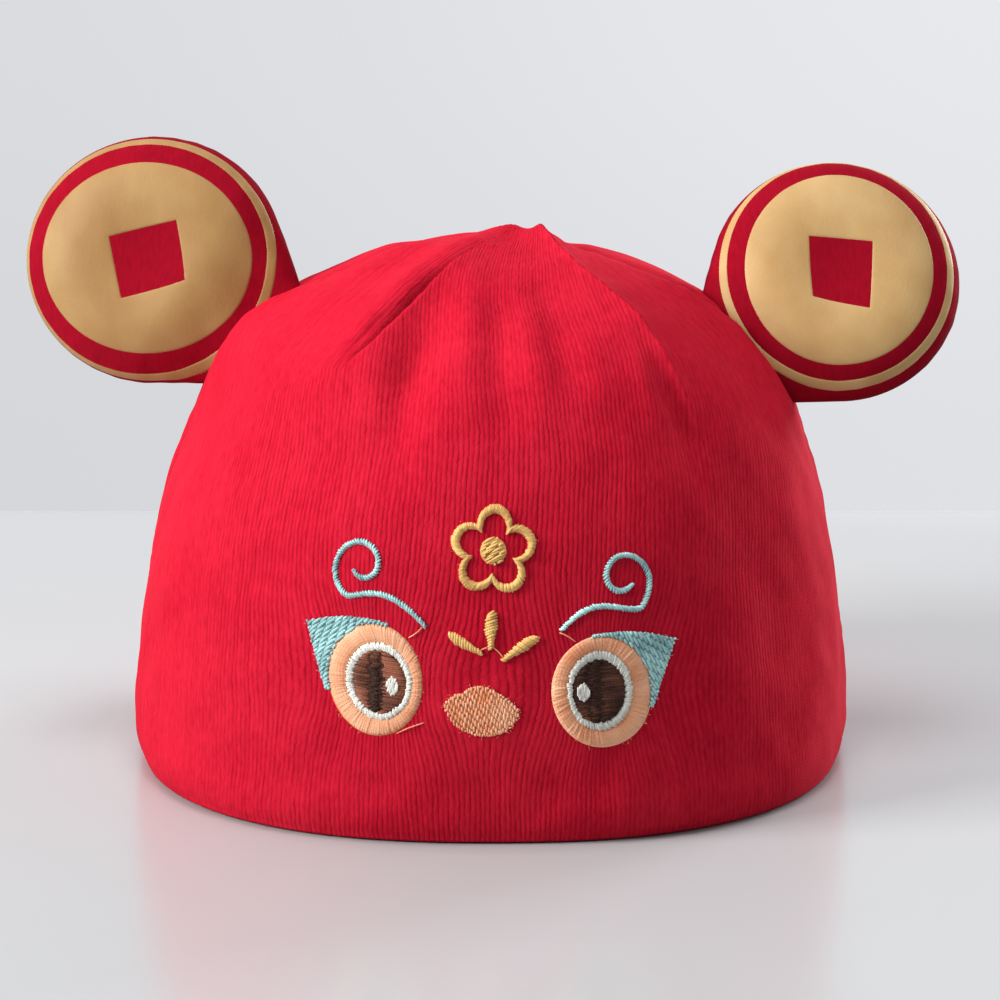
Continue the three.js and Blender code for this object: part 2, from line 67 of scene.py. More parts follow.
def smooth(start: float, end: float, x: Array) -> Array:
    """Rises softly from 0 at start to 1 at end.

    Args:
        start: Where the rise begins.
        end: Where it is complete.
        x: The places to work it out at.

    Returns:
        The share at each place, from 0 to 1.
    """
    t = np.clip((x - start) / (end - start), 0, 1)
    return t * t * (3 - 2 * t)


def bell(distance: Array, width: float) -> Array:
    """A rounded bump of height 1 that fades over width."""
    return np.exp(-(distance / width) ** 2)


def turn_between(a: Array, b: Amount) -> Array:
    """The signed turn from angle b to angle a, within half a turn."""
    return np.arctan2(np.sin(a - b), np.cos(a - b))


class Named(Enum):
    """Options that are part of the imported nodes' names."""

    @property
    def word(self) -> str:
        """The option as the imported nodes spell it."""
        return self.name.lower()


class Side(Named):
    """The two sides of the face, with the way each is mirrored."""

    LEFT = -1
    RIGHT = 1


class Half(Named):
    """The two panels of the crown, with the angle of each one's middle."""

    FRONT = 0.0
    BACK = math.pi


class Value:
    """A number that changes over a surface; an expression on values adds Math nodes."""

    def __init__(self, graph: "Graph", socket: Socket) -> None:
        """Wraps one output socket of a graph."""
        self.graph = graph
        self.socket = socket

    def math(self, operation: str, *others: Scalar, clamp: bool = False) -> "Value":
        """Adds one Math node.

        Args:
            operation: The Math node's operation.
            others: The node's further inputs, as values or plain numbers.
            clamp: Whether the result is held between 0 and 1.

        Returns:
            The node's result.
        """
        inputs = {0: self.socket}
        for place, other in enumerate(others, 1):
            inputs[place] = other.socket if isinstance(other, Value) else other
        node = self.graph.node("ShaderNodeMath", {"operation": operation, "use_clamp": clamp}, inputs)
        return Value(self.graph, node.outputs[0])

    def __add__(self, other: Scalar) -> "Value":
        """Sum."""
        return self.math("ADD", other)

    __radd__ = __add__

    def __mul__(self, other: Scalar) -> "Value":
        """Product."""
        return self.math("MULTIPLY", other)

    __rmul__ = __mul__

    def __sub__(self, other: Scalar) -> "Value":
        """Difference."""
        return self.math("SUBTRACT", other)

    def __rsub__(self, other: float) -> "Value":
        """Difference from a plain number."""
        return (self * -1.0) + other

    def __truediv__(self, other: Scalar) -> "Value":
        """Quotient."""
        return self.math("DIVIDE", other)

    def __pow__(self, other: float) -> "Value":
        """Power."""
        return self.math("POWER", other)

    def sin(self) -> "Value":
        """Sine of a value in radians."""
        return self.math("SINE")

    def fraction(self) -> "Value":
        """What is left above the whole number below."""
        return self.math("FRACT")

    def floor(self) -> "Value":
        """The whole number below."""
        return self.math("FLOOR")

    def size(self) -> "Value":
        """The value without its sign."""
        return self.math("ABSOLUTE")

    def held(self) -> "Value":
        """The value held between 0 and 1."""
        return self.math("ADD", 0.0, clamp=True)

    def ramp(self, start: float, end: float) -> "Value":
        """Rises softly from 0 at start to 1 at end."""
        settings = {"interpolation_type": "SMOOTHSTEP"}
        node = self.graph.node("ShaderNodeMapRange", settings,
                               {"Value": self.socket, "From Min": start, "From Max": end})
        return Value(self.graph, node.outputs["Result"])


class Graph:
    """The shader nodes of one material or of the world."""

    def __init__(self, owner: Union[Material, bpy.types.World]) -> None:
        """Starts with an empty tree."""
        owner.use_nodes = True
        self.tree = owner.node_tree
        self.tree.nodes.clear()

    def node(self, kind: str, settings: dict[str, Any], inputs: dict[Union[str, int], Any]) -> bpy.types.Node:
        """Adds one node.

        Args:
            kind: The node's type.
            settings: The node's own settings, which are set before its inputs.
            inputs: A value, a plain number or colour, or a socket for each named or numbered input.

        Returns:
            The new node.
        """
        node = self.tree.nodes.new(kind)
        for name, setting in settings.items():
            setattr(node, name, setting)
        for name, given in inputs.items():
            self.feed(node.inputs[name], given)
        return node

    def feed(self, socket: Socket, given: Any) -> None:
        """Links a socket to a value or another socket, or sets it to a plain number or colour."""
        if isinstance(given, Value):
            given = given.socket
        if isinstance(given, Socket):
            self.tree.links.new(given, socket)
        elif isinstance(given, tuple) and len(given) == 3 and socket.type == "RGBA":
            socket.default_value = (*given, 1.0)
        else:
            socket.default_value = given

    def attribute(self, name: str) -> tuple[Value, Value, Value]:
        """The three numbers of a vector attribute of the mesh."""
        vector = self.node("ShaderNodeAttribute", {"attribute_name": name}, {}).outputs["Vector"]
        parts = self.node("ShaderNodeSeparateXYZ", {}, {0: vector})
        return tuple(Value(self, parts.outputs[k]) for k in range(3))

    def vector(self, *parts: Scalar) -> Socket:
        """Three numbers as one vector."""
        return self.node("ShaderNodeCombineXYZ", {}, dict(enumerate(parts))).outputs[0]

    def place(self) -> Socket:
        """The place on the object, in metres."""
        return self.node("ShaderNodeTexCoord", {}, {}).outputs["Object"]

    def noise(self, where: Socket, scale: float, detail: float = 2.0) -> Value:
        """Soft noise about 0.5.

        Args:
            where: The vector it is worked out at.
            scale: How many lumps there are in a unit of that vector.
            detail: How many finer layers are added.

        Returns:
            The noise.
        """
        inputs = {"Vector": where, "Scale": scale, "Detail": detail}
        return Value(self, self.node("ShaderNodeTexNoise", {}, inputs).outputs[0])

    def chance(self, value: Value) -> Value:
        """One random number from 0 to 1 for each different value."""
        node = self.node("ShaderNodeTexWhiteNoise", {"noise_dimensions": "1D"}, {"W": value})
        return Value(self, node.outputs["Value"])

    def mix(self, share: Scalar, first: Any, second: Any) -> Socket:
        """One colour turning into another.

        Args:
            share: How much of the second colour shows.
            first: The colour at 0.
            second: The colour at 1.

        Returns:
            The mixed colour.
        """
        inputs = {0: share, 6: first, 7: second}
        return self.node("ShaderNodeMix", {"data_type": "RGBA"}, inputs).outputs[2]


class SurfaceGraph(Graph):
    """The nodes of one material, round one Principled shader."""

    def __init__(self, name: str) -> None:
        """Starts a material of that name with a shader and an output."""
        self.material = bpy.data.materials.new(name)
        super().__init__(self.material)
        self.shader = self.node("ShaderNodeBsdfPrincipled", {}, {})
        self.node("ShaderNodeOutputMaterial", {}, {"Surface": self.shader.outputs[0]})

    def bump(self, height: Value, depth: float, strength: float) -> None:
        """Gives the shader a relief whose full height is depth millimetres."""
        inputs = {"Height": height, "Distance": depth * MM, "Strength": strength}
        self.feed(self.shader.inputs["Normal"], self.node("ShaderNodeBump", {}, inputs).outputs[0])

    def finish(self, colour: Any, roughness: Any, **constants: float) -> Material:
        """Sets what shows on the shader.

        Args:
            colour: The base colour.
            roughness: The roughness.
            constants: Plain numbers or colours for the shader's other inputs, with _ for each space.

        Returns:
            The finished material.
        """
        self.feed(self.shader.inputs["Base Color"], colour)
        self.feed(self.shader.inputs["Roughness"], roughness)
        for name, constant in constants.items():
            self.feed(self.shader.inputs[name.replace("_", " ")], constant)
        return self.material


@dataclass(frozen=True)
class KnitFinish:
    """Fine-rib cotton jersey: broad round wales with narrow broken valleys, small loops and soft fuzz.

    Lengths are millimetres of cloth. A fade is the stretch over which the rib softens or grows, and its loss
    is how much of the rib is gone at the soft end.
    """

    name: str
    # lit paints a highlight on the raised wales, deep paints shade in the wale valleys and seam grooves, and
    # base lies between.
    lit: Triple = (0.70, 0.022, 0.048)
    base: Triple = (0.57, 0.0080, 0.030)
    deep: Triple = (0.24, 0.002, 0.009)
    # Painted highlight: the pale pink colour laid along the crest of a sharp fold, where the fold catches the
    # light.
    crest_highlight: Triple = (0.80, 0.085, 0.130)
    pitch: float = 0.92
    course: float = 0.72
    depth: float = 0.19
    rib: float = 1.0
    drift: float = 1.6
    wobble: float = 0.55
    tremble: float = 0.34
    peak_fade: Pair = (52.0, 100.0)
    peak_loss: float = 0.40
    shoulder_across: Pair = (32.0, 42.0)
    shoulder_up: Pair = (72.0, 92.0)
    shoulder_loss: float = 0.85
    side_fade: Pair = (42.0, 74.0)
    side_loss: float = 0.88
    hem_fade: Pair = (4.0, 40.0)
    hem_loss: float = 0.32
    middle_shade: float = 0.70
    line_shade: float = 0.34
    crest_highlight_share: float = 0.55
    groove_shade_share: float = 0.6

    def material(self) -> Material:
        """Makes the cloth's material from its wale, course and seam coordinates."""
        graph = SurfaceGraph(self.name)
        wale, course, seam = graph.attribute("cloth")
        drift = graph.noise(graph.vector(wale, course, 0.0), 0.055, detail=1.0) - 0.5
        wobble = graph.noise(graph.vector(wale, course * 0.6, 3.0), 0.45) - 0.5
        tremble = graph.noise(graph.vector(wale * 0.7, course * 1.3, 9.0), 1.0, detail=1.0) - 0.5
        strayed = wale + drift * self.drift + wobble * self.wobble + tremble * self.tremble
        counted = strayed / self.pitch
        off_middle = (counted.fraction() - 0.5).size() * 2.0
        paired = ((counted * 0.5).fraction() - 0.5).size() * 0.5 + 0.80
        own = graph.chance(counted.floor())
        broken = graph.noise(graph.vector(wale, course * 0.3, 5.0), 0.6)
        across = wale.size()
        high = 1.0 - course.ramp(*self.peak_fade) * self.peak_loss
        shoulder = across.ramp(*self.shoulder_across) * course.ramp(*self.shoulder_up)
        aside = (1.0 - across.ramp(*self.side_fade) * self.side_loss) * (1.0 - shoulder * self.shoulder_loss)
        low = course.ramp(*self.hem_fade) * self.hem_loss + (1.0 - self.hem_loss)
        shown = (broken * 1.5 - 0.05).held()
        valley = off_middle ** 2.0 * shown * high * low * aside * paired * self.rib
        loops = ((course / self.course + off_middle * 0.4 + own) * TURN).sin() * 0.5 + 0.5
        streaks = graph.noise(graph.vector(wale * 1.5, course * 0.45, 0.0), 1.0, detail=3.0)
        fibres = graph.noise(graph.vector(wale * 3.0, course * 2.2, 7.0), 1.0)
        blotch = graph.noise(graph.vector(wale, course, 11.0), 0.07)
        looped = loops * (1.0 - valley) * 0.09 * self.rib
        graph.bump(1.0 - valley * 0.8 + looped + streaks * 0.22 + fibres * 0.16, self.depth, 0.9)
        uneven = (streaks - 0.5) * 0.5 + (own - 0.5) * 0.08 * self.rib
        # Painted shade darkens the wale valleys and a painted highlight lightens the raised wales; streaks,
        # blotches and each wale's own tone vary at random.
        shade = (self.middle_shade - valley * self.line_shade + uneven).held()
        body = graph.mix(shade, self.deep, self.base)
        raised = graph.mix((shade * 1.2 - 0.60 + (blotch - 0.5) * 0.6).held(), body, self.lit)
        # Painted highlight: where the seam mark is negative, along a fold's crest, the colour turns pale
        # pink.
        raised = graph.mix((seam * -self.crest_highlight_share).held(), raised, self.crest_highlight)
        # Painted shade: where the seam mark is positive, along the seam grooves and at the peak, the colour
        # turns towards deep.
        sewn = graph.mix((seam * self.groove_shade_share).held(), raised, self.deep)
        return graph.finish(sewn, 0.80 + fibres * 0.16, Specular_IOR_Level=0.035, Sheen_Weight=0.015,
                            Sheen_Roughness=0.40, Sheen_Tint=(1.0, 0.36, 0.40))


@dataclass(frozen=True)
class PrintFinish:
    """Matte metallic ink on smooth jersey, with soft clouds of tone and a faint grain of the knit."""

    name: str
    ink: Triple = (0.32, 0.168, 0.051)
    pale: Triple = (0.41, 0.244, 0.090)
    depth: float = 0.05

    def material(self) -> Material:
        """Makes the ink's material from the cloth's own coordinates."""
        graph = SurfaceGraph(self.name)
        wale, course, _ = graph.attribute("cloth")
        grain = graph.noise(graph.vector(wale * 2.0, course * 1.1, 0.0), 1.0, detail=3.0)
        cloud = graph.noise(graph.vector(wale, course * 0.7, 5.0), 0.10)
        graph.bump(grain, self.depth, 0.8)
        tone = (cloud * 2.2 - 0.65 + (grain - 0.5) * 0.35).held()
        colour = graph.mix(tone, self.ink, self.pale)
        return graph.finish(colour, 0.50 + grain * 0.16, Specular_IOR_Level=0.30, Sheen_Weight=0.03)


@dataclass(frozen=True)
class ThreadFinish:
    """Embroidery thread with a soft sheen: each strand has its own tone, and its twist shows as ridges.

    Twist is the length of one turn of the plies, and fade how much paler a stitch grows in a millimetre.
    """

    name: str
    tone: Triple
    dark: Triple
    fade: float = 0.0
    twist: float = 0.55
    gloss: float = 0.42
    sheen: float = 0.30
    depth: float = 0.05
    cloud_scale: float = 190.0

    def material(self) -> Material:
        """Makes the thread's material from its length, its girth and each strand's own number."""
        graph = SurfaceGraph(self.name)
        along, around, own = graph.attribute("strand")
        plies = ((along / self.twist + around) * TURN).sin() * 0.5 + 0.5
        fibres = graph.noise(graph.vector(along * 0.9, around * 9.0, own * 40.0), 1.0)
        graph.bump(plies * 0.6 + fibres * 0.5, self.depth, 0.8)
        cloud = graph.noise(graph.place(), self.cloud_scale)
        lit = own * 0.34 + plies * 0.12 + fibres * 0.24 + cloud * 1.4
        shade = (lit + along * self.fade - 0.50 - self.fade).held()
        colour = graph.mix(shade, self.dark, self.tone)
        return graph.finish(colour, 0.50 + fibres * 0.14, Specular_IOR_Level=self.gloss,
                            Sheen_Weight=self.sheen, Sheen_Roughness=0.35, Sheen_Tint=(1.0, 1.0, 1.0))


@dataclass(frozen=True)
class TableFinish:
    """Smooth pale studio table with a soft gloss, and painted shade that makes it a little darker at its far
    end.
    """

    name: str = "pale_table"
    colour: Triple = (0.43, 0.44, 0.45)
    far_from: float = 0.04
    far_to: float = 0.16
    far_shade: float = 0.02
    grain_scale: float = 40.0
    grain_shade: float = 0.04

    def material(self) -> Material:
        """Makes the table's material."""
        graph = SurfaceGraph(self.name)
        grain = graph.noise(graph.place(), self.grain_scale)
        back = Value(graph, graph.node("ShaderNodeSeparateXYZ", {}, {0: graph.place()}).outputs["Y"])
        shade = back.ramp(self.far_from, self.far_to) * self.far_shade + (grain - 0.5) * self.grain_shade
        colour = graph.mix(shade.held(), self.colour, (0.0, 0.0, 0.0))
        return graph.finish(colour, 0.20 + grain * 0.06, Specular_IOR_Level=0.5)


CROWN_CLOTH = KnitFinish("red_rib_jersey")
EAR_CLOTH = KnitFinish("red_smooth_jersey", lit=(0.39, 0.004, 0.020), base=(0.29, 0.003, 0.014),
                       deep=(0.14, 0.001, 0.006), depth=0.10, rib=0.12)
PRINTS = {
    Side.LEFT: PrintFinish("gold_print"),
    # The right print is the same ink as the left, painted lighter to stand in for light on the right ear.
    Side.RIGHT: PrintFinish("gold_print_painted_lighter", ink=(0.46, 0.270, 0.098), pale=(0.585, 0.385, 0.168)),
}


class Tone(Named):
    """The tones of embroidery thread, each with its finish."""

    TEAL = ThreadFinish("teal_thread", tone=(0.53, 0.88, 0.87), dark=(0.045, 0.16, 0.19))
    PEACH = ThreadFinish("peach_thread", tone=(0.90, 0.49, 0.295), dark=(0.68, 0.180, 0.050), fade=0.10,
                         sheen=0.12)
    PALE = ThreadFinish("pale_thread", tone=(0.84, 0.84, 0.77), dark=(0.50, 0.51, 0.46))
    BROWN = ThreadFinish("brown_thread", tone=(0.35, 0.118, 0.068), dark=(0.040, 0.014, 0.009), gloss=0.2,
                         sheen=0.05)
    GOLD = ThreadFinish("gold_thread", tone=(0.90, 0.58, 0.185), dark=(0.50, 0.25, 0.065))

    @property
    def slot(self) -> str:
        """The record's material slot for this tone."""
        return f"thread_{self.word}"


@dataclass
class Surface:
    """Points, faces and one vector a point of a mesh in the making."""

    points: Array
    quads: Array
    triangles: Array
    marks: Array

    @staticmethod
    def joined(parts: list["Surface"]) -> "Surface":
        """Several surfaces as one."""
        start = 0
        quads = []
        triangles = []
        for part in parts:
            quads.append(part.quads + start)
            triangles.append(part.triangles + start)
            start += len(part.points)
        return Surface(np.concatenate([part.points for part in parts]), np.concatenate(quads),
                       np.concatenate(triangles), np.concatenate([part.marks for part in parts]))

    def outward(self) -> "Surface":
        """The same surface with its faces pointing out."""
        faces = np.concatenate([self.quads[:, [0, 1, 2]], self.quads[:, [0, 2, 3]], self.triangles])
        a, b, c = (self.points[faces[:, k]] for k in range(3))
        if np.einsum("ij,ij->i", a, np.cross(b, c)).sum() < 0:
            return Surface(self.points, self.quads[:, ::-1], self.triangles[:, ::-1], self.marks)
        return self

    def piece(self, name: str, mark: str, material: Material, slot: str, *nodes: str) -> bpy.types.Object:
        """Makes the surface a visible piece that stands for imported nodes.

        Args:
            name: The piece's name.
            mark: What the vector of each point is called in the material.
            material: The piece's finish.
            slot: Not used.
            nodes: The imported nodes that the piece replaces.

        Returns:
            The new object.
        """
        mesh = bpy.data.meshes.new(name)
        mesh.vertices.add(len(self.points))
        mesh.vertices.foreach_set("co", ((self.points - HAT_MIDDLE) * MM).ravel())
        corners = np.concatenate([self.quads.ravel(), self.triangles.ravel()])
        mesh.loops.add(len(corners))
        mesh.loops.foreach_set("vertex_index", corners.astype(np.int32))
        quad_starts = np.arange(len(self.quads)) * 4
        triangle_starts = len(self.quads) * 4 + np.arange(len(self.triangles)) * 3
        starts = np.concatenate([quad_starts, triangle_starts])
        mesh.polygons.add(len(starts))
        mesh.polygons.foreach_set("loop_start", starts.astype(np.int32))
        mesh.polygons.foreach_set("use_smooth", np.ones(len(starts), dtype=bool))
        mesh.attributes.new(mark, "FLOAT_VECTOR", "POINT").data.foreach_set("vector", self.marks.ravel())
        mesh.update(calc_edges=True)
        mesh.validate()
        mesh.materials.append(material)
        piece = bpy.data.objects.new(name, mesh)
        bpy.context.scene.collection.objects.link(piece)
        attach(piece, BODY)
        if nodes:
            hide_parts(*nodes)
        log.info("%s: %d points, %d faces", name, len(self.points), len(starts))
        return piece


def grid_quads(rows: int, columns: int, closed: bool, looped: bool = False) -> Array:
    """Faces between the rows of a grid of points.

    Args:
        rows: How many rows of points there are.
        columns: How many points a row has.
        closed: Whether the last point of a row is joined to the first.
        looped: Whether the last row is joined to the first.

    Returns:
        The corners of each face, one face a line.
    """
    numbers = np.arange(rows * columns).reshape(rows, columns)
    if looped:
        numbers = np.concatenate([numbers, numbers[:1]])
    if closed:
        numbers = np.concatenate([numbers, numbers[:, :1]], axis=1)
    corners = (numbers[:-1, :-1], numbers[:-1, 1:], numbers[1:, 1:], numbers[1:, :-1])
    return np.stack([corner.ravel() for corner in corners], axis=1)


def fan(tip: Union[int, Array], first: Array, second: Array) -> Array:
    """Triangles from a tip to each step of a line, whose two ends are given."""
    return np.stack([np.broadcast_to(tip, first.shape), first, second], axis=1)


def way(angle: Array) -> Array:
    """The way that each angle points, across and up."""
    return np.stack([np.cos(angle), np.sin(angle)], -1)


def ringed(centre_x: Array, centre_y: Array, height: Array, radius: Array, angle: Array) -> Array:
    """Points round an upright axis, by their angle from the front."""
    across = centre_x + radius * np.sin(angle)
    back = centre_y - radius * np.cos(angle)
    return np.stack(np.broadcast_arrays(across, back, height), -1)


@dataclass(frozen=True)
class Ripple:
    """Soft unevenness of cloth, as a seeded sum of plane waves."""

    amount: float
    shortest: float
    longest: float
    seed: int
    waves: int = 16

    def at(self, points: Array) -> Array:
        """How far the cloth is off its plain form at each point."""
        draw = np.random.default_rng(self.seed)
        ways = draw.normal(size=(self.waves, 3))
        ways /= np.linalg.norm(ways, axis=1, keepdims=True)
        lengths = draw.uniform(self.shortest, self.longest, self.waves)
        phases = draw.uniform(0, TURN, self.waves)
        total = np.zeros(points.shape[:-1])
        for heading, length, phase in zip(ways, lengths, phases):
            total += np.sin(points @ heading * TURN / length + phase)
        return self.amount * total / math.sqrt(self.waves / 2)


@dataclass(frozen=True)
class Section:
    """One level of the crown."""

    height: float
    half_width: float
    half_depth: float
    shift_x: float
    shift_back: float
    squareness: float


@dataclass(frozen=True)
class Dart:
    """A dart from a tip on the crown's shoulder to the top seam, seen from above.

    The depth is that of the soft relief beside the line, a negative one being raised, and the offset is how
    far that relief lies towards the panel's middle. Groove is the depth of the fine line, twin that of a
    short second line outside it, and crest the height of a sharp fold. Bow is how far the line curves
    towards the panel's middle.
    """

    tip_x: float
    tip_front: float
    end_x: float
    end_front: float
    depth: float
    width: float
    offset: float
    groove: float
    twin: float
    crest: float
    bow: float = 0.0

    @property
    def run_x(self) -> float:
        """How far the dart runs across the crown."""
        return self.end_x - self.tip_x

    @property
    def run_front(self) -> float:
        """How far the dart runs towards the face."""
        return self.end_front - self.tip_front

    @property
    def length(self) -> float:
        """The dart's length."""
        return math.hypot(self.run_x, self.run_front)

    def bowed(self, share: Array) -> Array:
        """How far the line lies towards the panel's middle, at a share of its length."""
        return self.bow * 4 * share * (1 - share)


@dataclass(frozen=True)
class Fold:
    """A soft fold that runs up the crown from one angle to another; a negative depth is a ridge.

    The width is that of its left flank, and spread is how much wider the right one is.
    """

    low_angle: float
    high_angle: float
    from_rise: float
    to_rise: float
    width: float
    depth: float
    spread: float = 1.0


@dataclass(frozen=True)
class CrownShape:
    """The crown's form, from the hem at rise 0 to the peak at rise 1, by the angle from the front."""

    sections: tuple[Section, ...] = (
        Section(0.0, 64.3, 61.2, 0.0, 0.0, 2.34),
        Section(2.5, 65.5, 62.3, 0.0, 0.0, 2.34),
        Section(12.0, 66.2, 63.0, 0.0, 0.0, 2.26),
        Section(26.0, 65.3, 63.2, 0.0, 0.0, 2.16),
        Section(42.0, 62.6, 62.0, 0.2, 0.0, 2.08),
        Section(56.0, 58.7, 59.4, 0.9, 0.0, 2.04),
        Section(68.0, 53.6, 54.0, 1.7, -0.2, 2.0),
        Section(78.5, 45.4, 46.0, 1.1, -0.4, 2.0),
        Section(86.0, 36.0, 35.2, 0.6, -0.8, 2.0),
        Section(91.6, 24.4, 22.6, 0.0, -0.8, 2.0),
        Section(95.0, 12.2, 10.6, 1.4, 0.8, 2.0),
        Section(97.0, 0.0, 0.0, 4.2, 2.6, 2.0),
    )
    darts: tuple[Dart, ...] = (
        Dart(-27.0, 35.2, 0.4, -1.0, -1.3, 4.0, -3.0, 0.85, 0.6, 0.0, bow=3.8),
        Dart(30.4, 33.4, 4.4, -1.0, -1.0, 5.0, 0.6, 0.12, 0.0, 1.4),
        Dart(-33.0, -35.0, -6.6, 1.0, 1.0, 4.5, 0.0, 0.6, 0.0, 0.0),
        Dart(33.0, -35.0, 6.6, 1.0, 1.0, 4.5, 0.0, 0.6, 0.0, 0.0),
    )
    folds: tuple[Fold, ...] = (
        Fold(-20.0, -22.5, 0.46, 0.87, 4.8, 4.2, spread=1.15),
        Fold(-1.0, 4.5, 0.48, 0.92, 4.6, 1.9),
        Fold(12.0, 27.0, 0.52, 0.92, 4.8, 1.7),
        Fold(33.0, 36.0, 0.50, 0.74, 3.6, -0.9),
        Fold(38.5, 39.5, 0.43, 0.68, 2.6, 1.6),
        Fold(52.0, 52.0, 0.40, 0.70, 6.0, -0.8),
        Fold(66.0, 66.0, 0.50, 0.95, 9.0, 1.0),
        Fold(-90.0, -90.0, 0.76, 1.04, 16.0, -1.2),
        Fold(-90.0, -90.0, 0.44, 0.80, 15.0, -2.9),
        Fold(90.0, 90.0, 0.46, 0.78, 13.0, -0.8),
        Fold(72.0, 72.0, 0.86, 1.06, 5.0, -0.9),
    )
    dart_fade: Pair = (-0.25, 0.3)
    fold_fade: Pair = (1.0, 14.0)
    hem_rise: float = 0.021
    peak_flat: float = 8.0
    slope_step: float = 0.001
    groove_width: float = 0.55
    groove_fade: Pair = (0.30, 0.70)
    tip_fade: Pair = (-0.03, 0.10)
    twin_off: float = -1.6
    twin_fade: Pair = (0.15, 0.35)
    crest_width: float = 1.3
    crest_from: float = -0.36
    crest_fade: Pair = (-0.32, -0.02)
    # The glow fields set the painted highlight along a sharp fold's crest, and the line and seam line fields
    # the painted shade along the dart grooves and the side seam.
    glow_off: float = -0.2
    glow_width: float = 0.75
    line_share: float = 0.7
    line_fade: Pair = (0.0, 0.1)
    seam_depth: float = 0.25
    seam_width: float = 1.2
    seam_line_share: float = 0.4
    seam_line_tone: float = 0.5
    seam_fade: Pair = (0.05, 0.2)
    peak_fade: Pair = (0.5, 7.0)
    seam_overrun: float = 0.5
    pucker_depth: float = 0.07
    pucker_length: float = 4.6
    pucker_reach: float = 4.5
    dart_wander: float = 17.0
    seam_wander: float = 0.31
    seam_sway: float = 1.3
    seam_lap: float = 0.02
    girth: float = 66.0
    wale_taper: float = 0.75
    line_steps: int = 240
    depth_steps: int = 600
    steepest: float = 4.0
    still_rise: float = 0.06
    still_peak: float = 10.0
    ripples: tuple[Ripple, ...] = (Ripple(0.32, 22.0, 48.0, 5), Ripple(0.09, 7.0, 14.0, 8))

    @cached_property
    def _reach(self) -> Array:
        """How far along the profile each section lies, in millimetres."""
        heights = np.array([section.height for section in self.sections])
        widths = np.array([section.half_width for section in self.sections])
        return np.concatenate([[0.0], np.cumsum(np.hypot(np.diff(heights), np.diff(widths)))])

    @property
    def length(self) -> float:
        """The length of the profile from the hem to the peak."""
        return float(self._reach[-1])

    def section(self, name: str, rise: Array) -> Array:
        """A smooth curve through one size of the sections.

        Args:
            name: The size's name.
            rise: The places along the profile.

        Returns:
            The size at each place.
        """
        x = self._reach / self.length
        y = np.array([getattr(section, name) for section in self.sections])
        slope = np.diff(y) / np.diff(x)
        tangent = np.empty_like(y)
        tangent[0] = slope[0]
        tangent[-1] = slope[-1]
        tangent[1:-1] = (slope[:-1] * np.diff(x)[1:] + slope[1:] * np.diff(x)[:-1]) / (x[2:] - x[:-2])
        k = np.clip(np.searchsorted(x, rise, side="right") - 1, 0, len(x) - 2)
        span = x[k + 1] - x[k]
        t = (rise - x[k]) / span
        return ((2 * t ** 3 - 3 * t ** 2 + 1) * y[k] + (t ** 3 - 2 * t ** 2 + t) * span * tangent[k]
                + (3 * t ** 2 - 2 * t ** 3) * y[k + 1] + (t ** 3 - t ** 2) * span * tangent[k + 1])

    def _dart_place(self, dart: Dart, x: Array, front: Array) -> tuple[Array, Array, Array]:
        """Where places lie by a dart.

        Args:
            dart: The dart.
            x: The places across the crown.
            front: The places towards the face.

        Returns:
            The share along the dart, the distance off it, which is negative outside it, and whether a place
            is on the dart's half of the crown.
        """
        off_x = x - dart.tip_x
        off_front = front - dart.tip_front
        along = (off_x * dart.run_x + off_front * dart.run_front) / dart.length ** 2
        kept = np.clip(along, self.crest_from, 1)
        away = np.hypot(off_x - kept * dart.run_x, off_front - kept * dart.run_front)
        aside = off_x * dart.run_front - off_front * dart.run_x
        on_half = front * np.sign(dart.tip_front) > -self.seam_overrun
        bowed = dart.bowed(np.clip(along, 0, 1))
        return along, away * np.sign(-aside * dart.tip_x * dart.run_front) - bowed, on_half

    def _dart_detail(self, dart: Dart, along: Array, away: Array, on_half: Array, radius: Array) -> Array:
        """How far a dart's lines, sharp fold and puckers lie below the cloth beside it.

        Args:
            dart: The dart.
            along: The share along it of each place.
            away: The distance off it of each place.
            on_half: Whether each place is on the dart's half of the crown.
            radius: The crown's half width there.

        Returns:
            The depth at each place, in millimetres.
        """
        off_peak = smooth(*self.peak_fade, radius)
        near = smooth(*self.tip_fade, along) * on_half * off_peak
        groove = dart.groove * bell(away, self.groove_width) * (1 - smooth(*self.groove_fade, along))
        twin_away = away - self.twin_off * (1 - along)
        twin = dart.twin * bell(twin_away, self.groove_width) * (1 - smooth(*self.twin_fade, along))
        waves = np.sin(along * dart.length / self.pucker_length * TURN + np.sin(along * self.dart_wander))
        puckers = self.pucker_depth * waves * bell(away, self.pucker_reach)
        crest = dart.crest * np.exp(-np.abs(away) / self.crest_width) * smooth(*self.crest_fade, along)
        return (groove + twin + puckers) * near - crest * on_half * off_peak

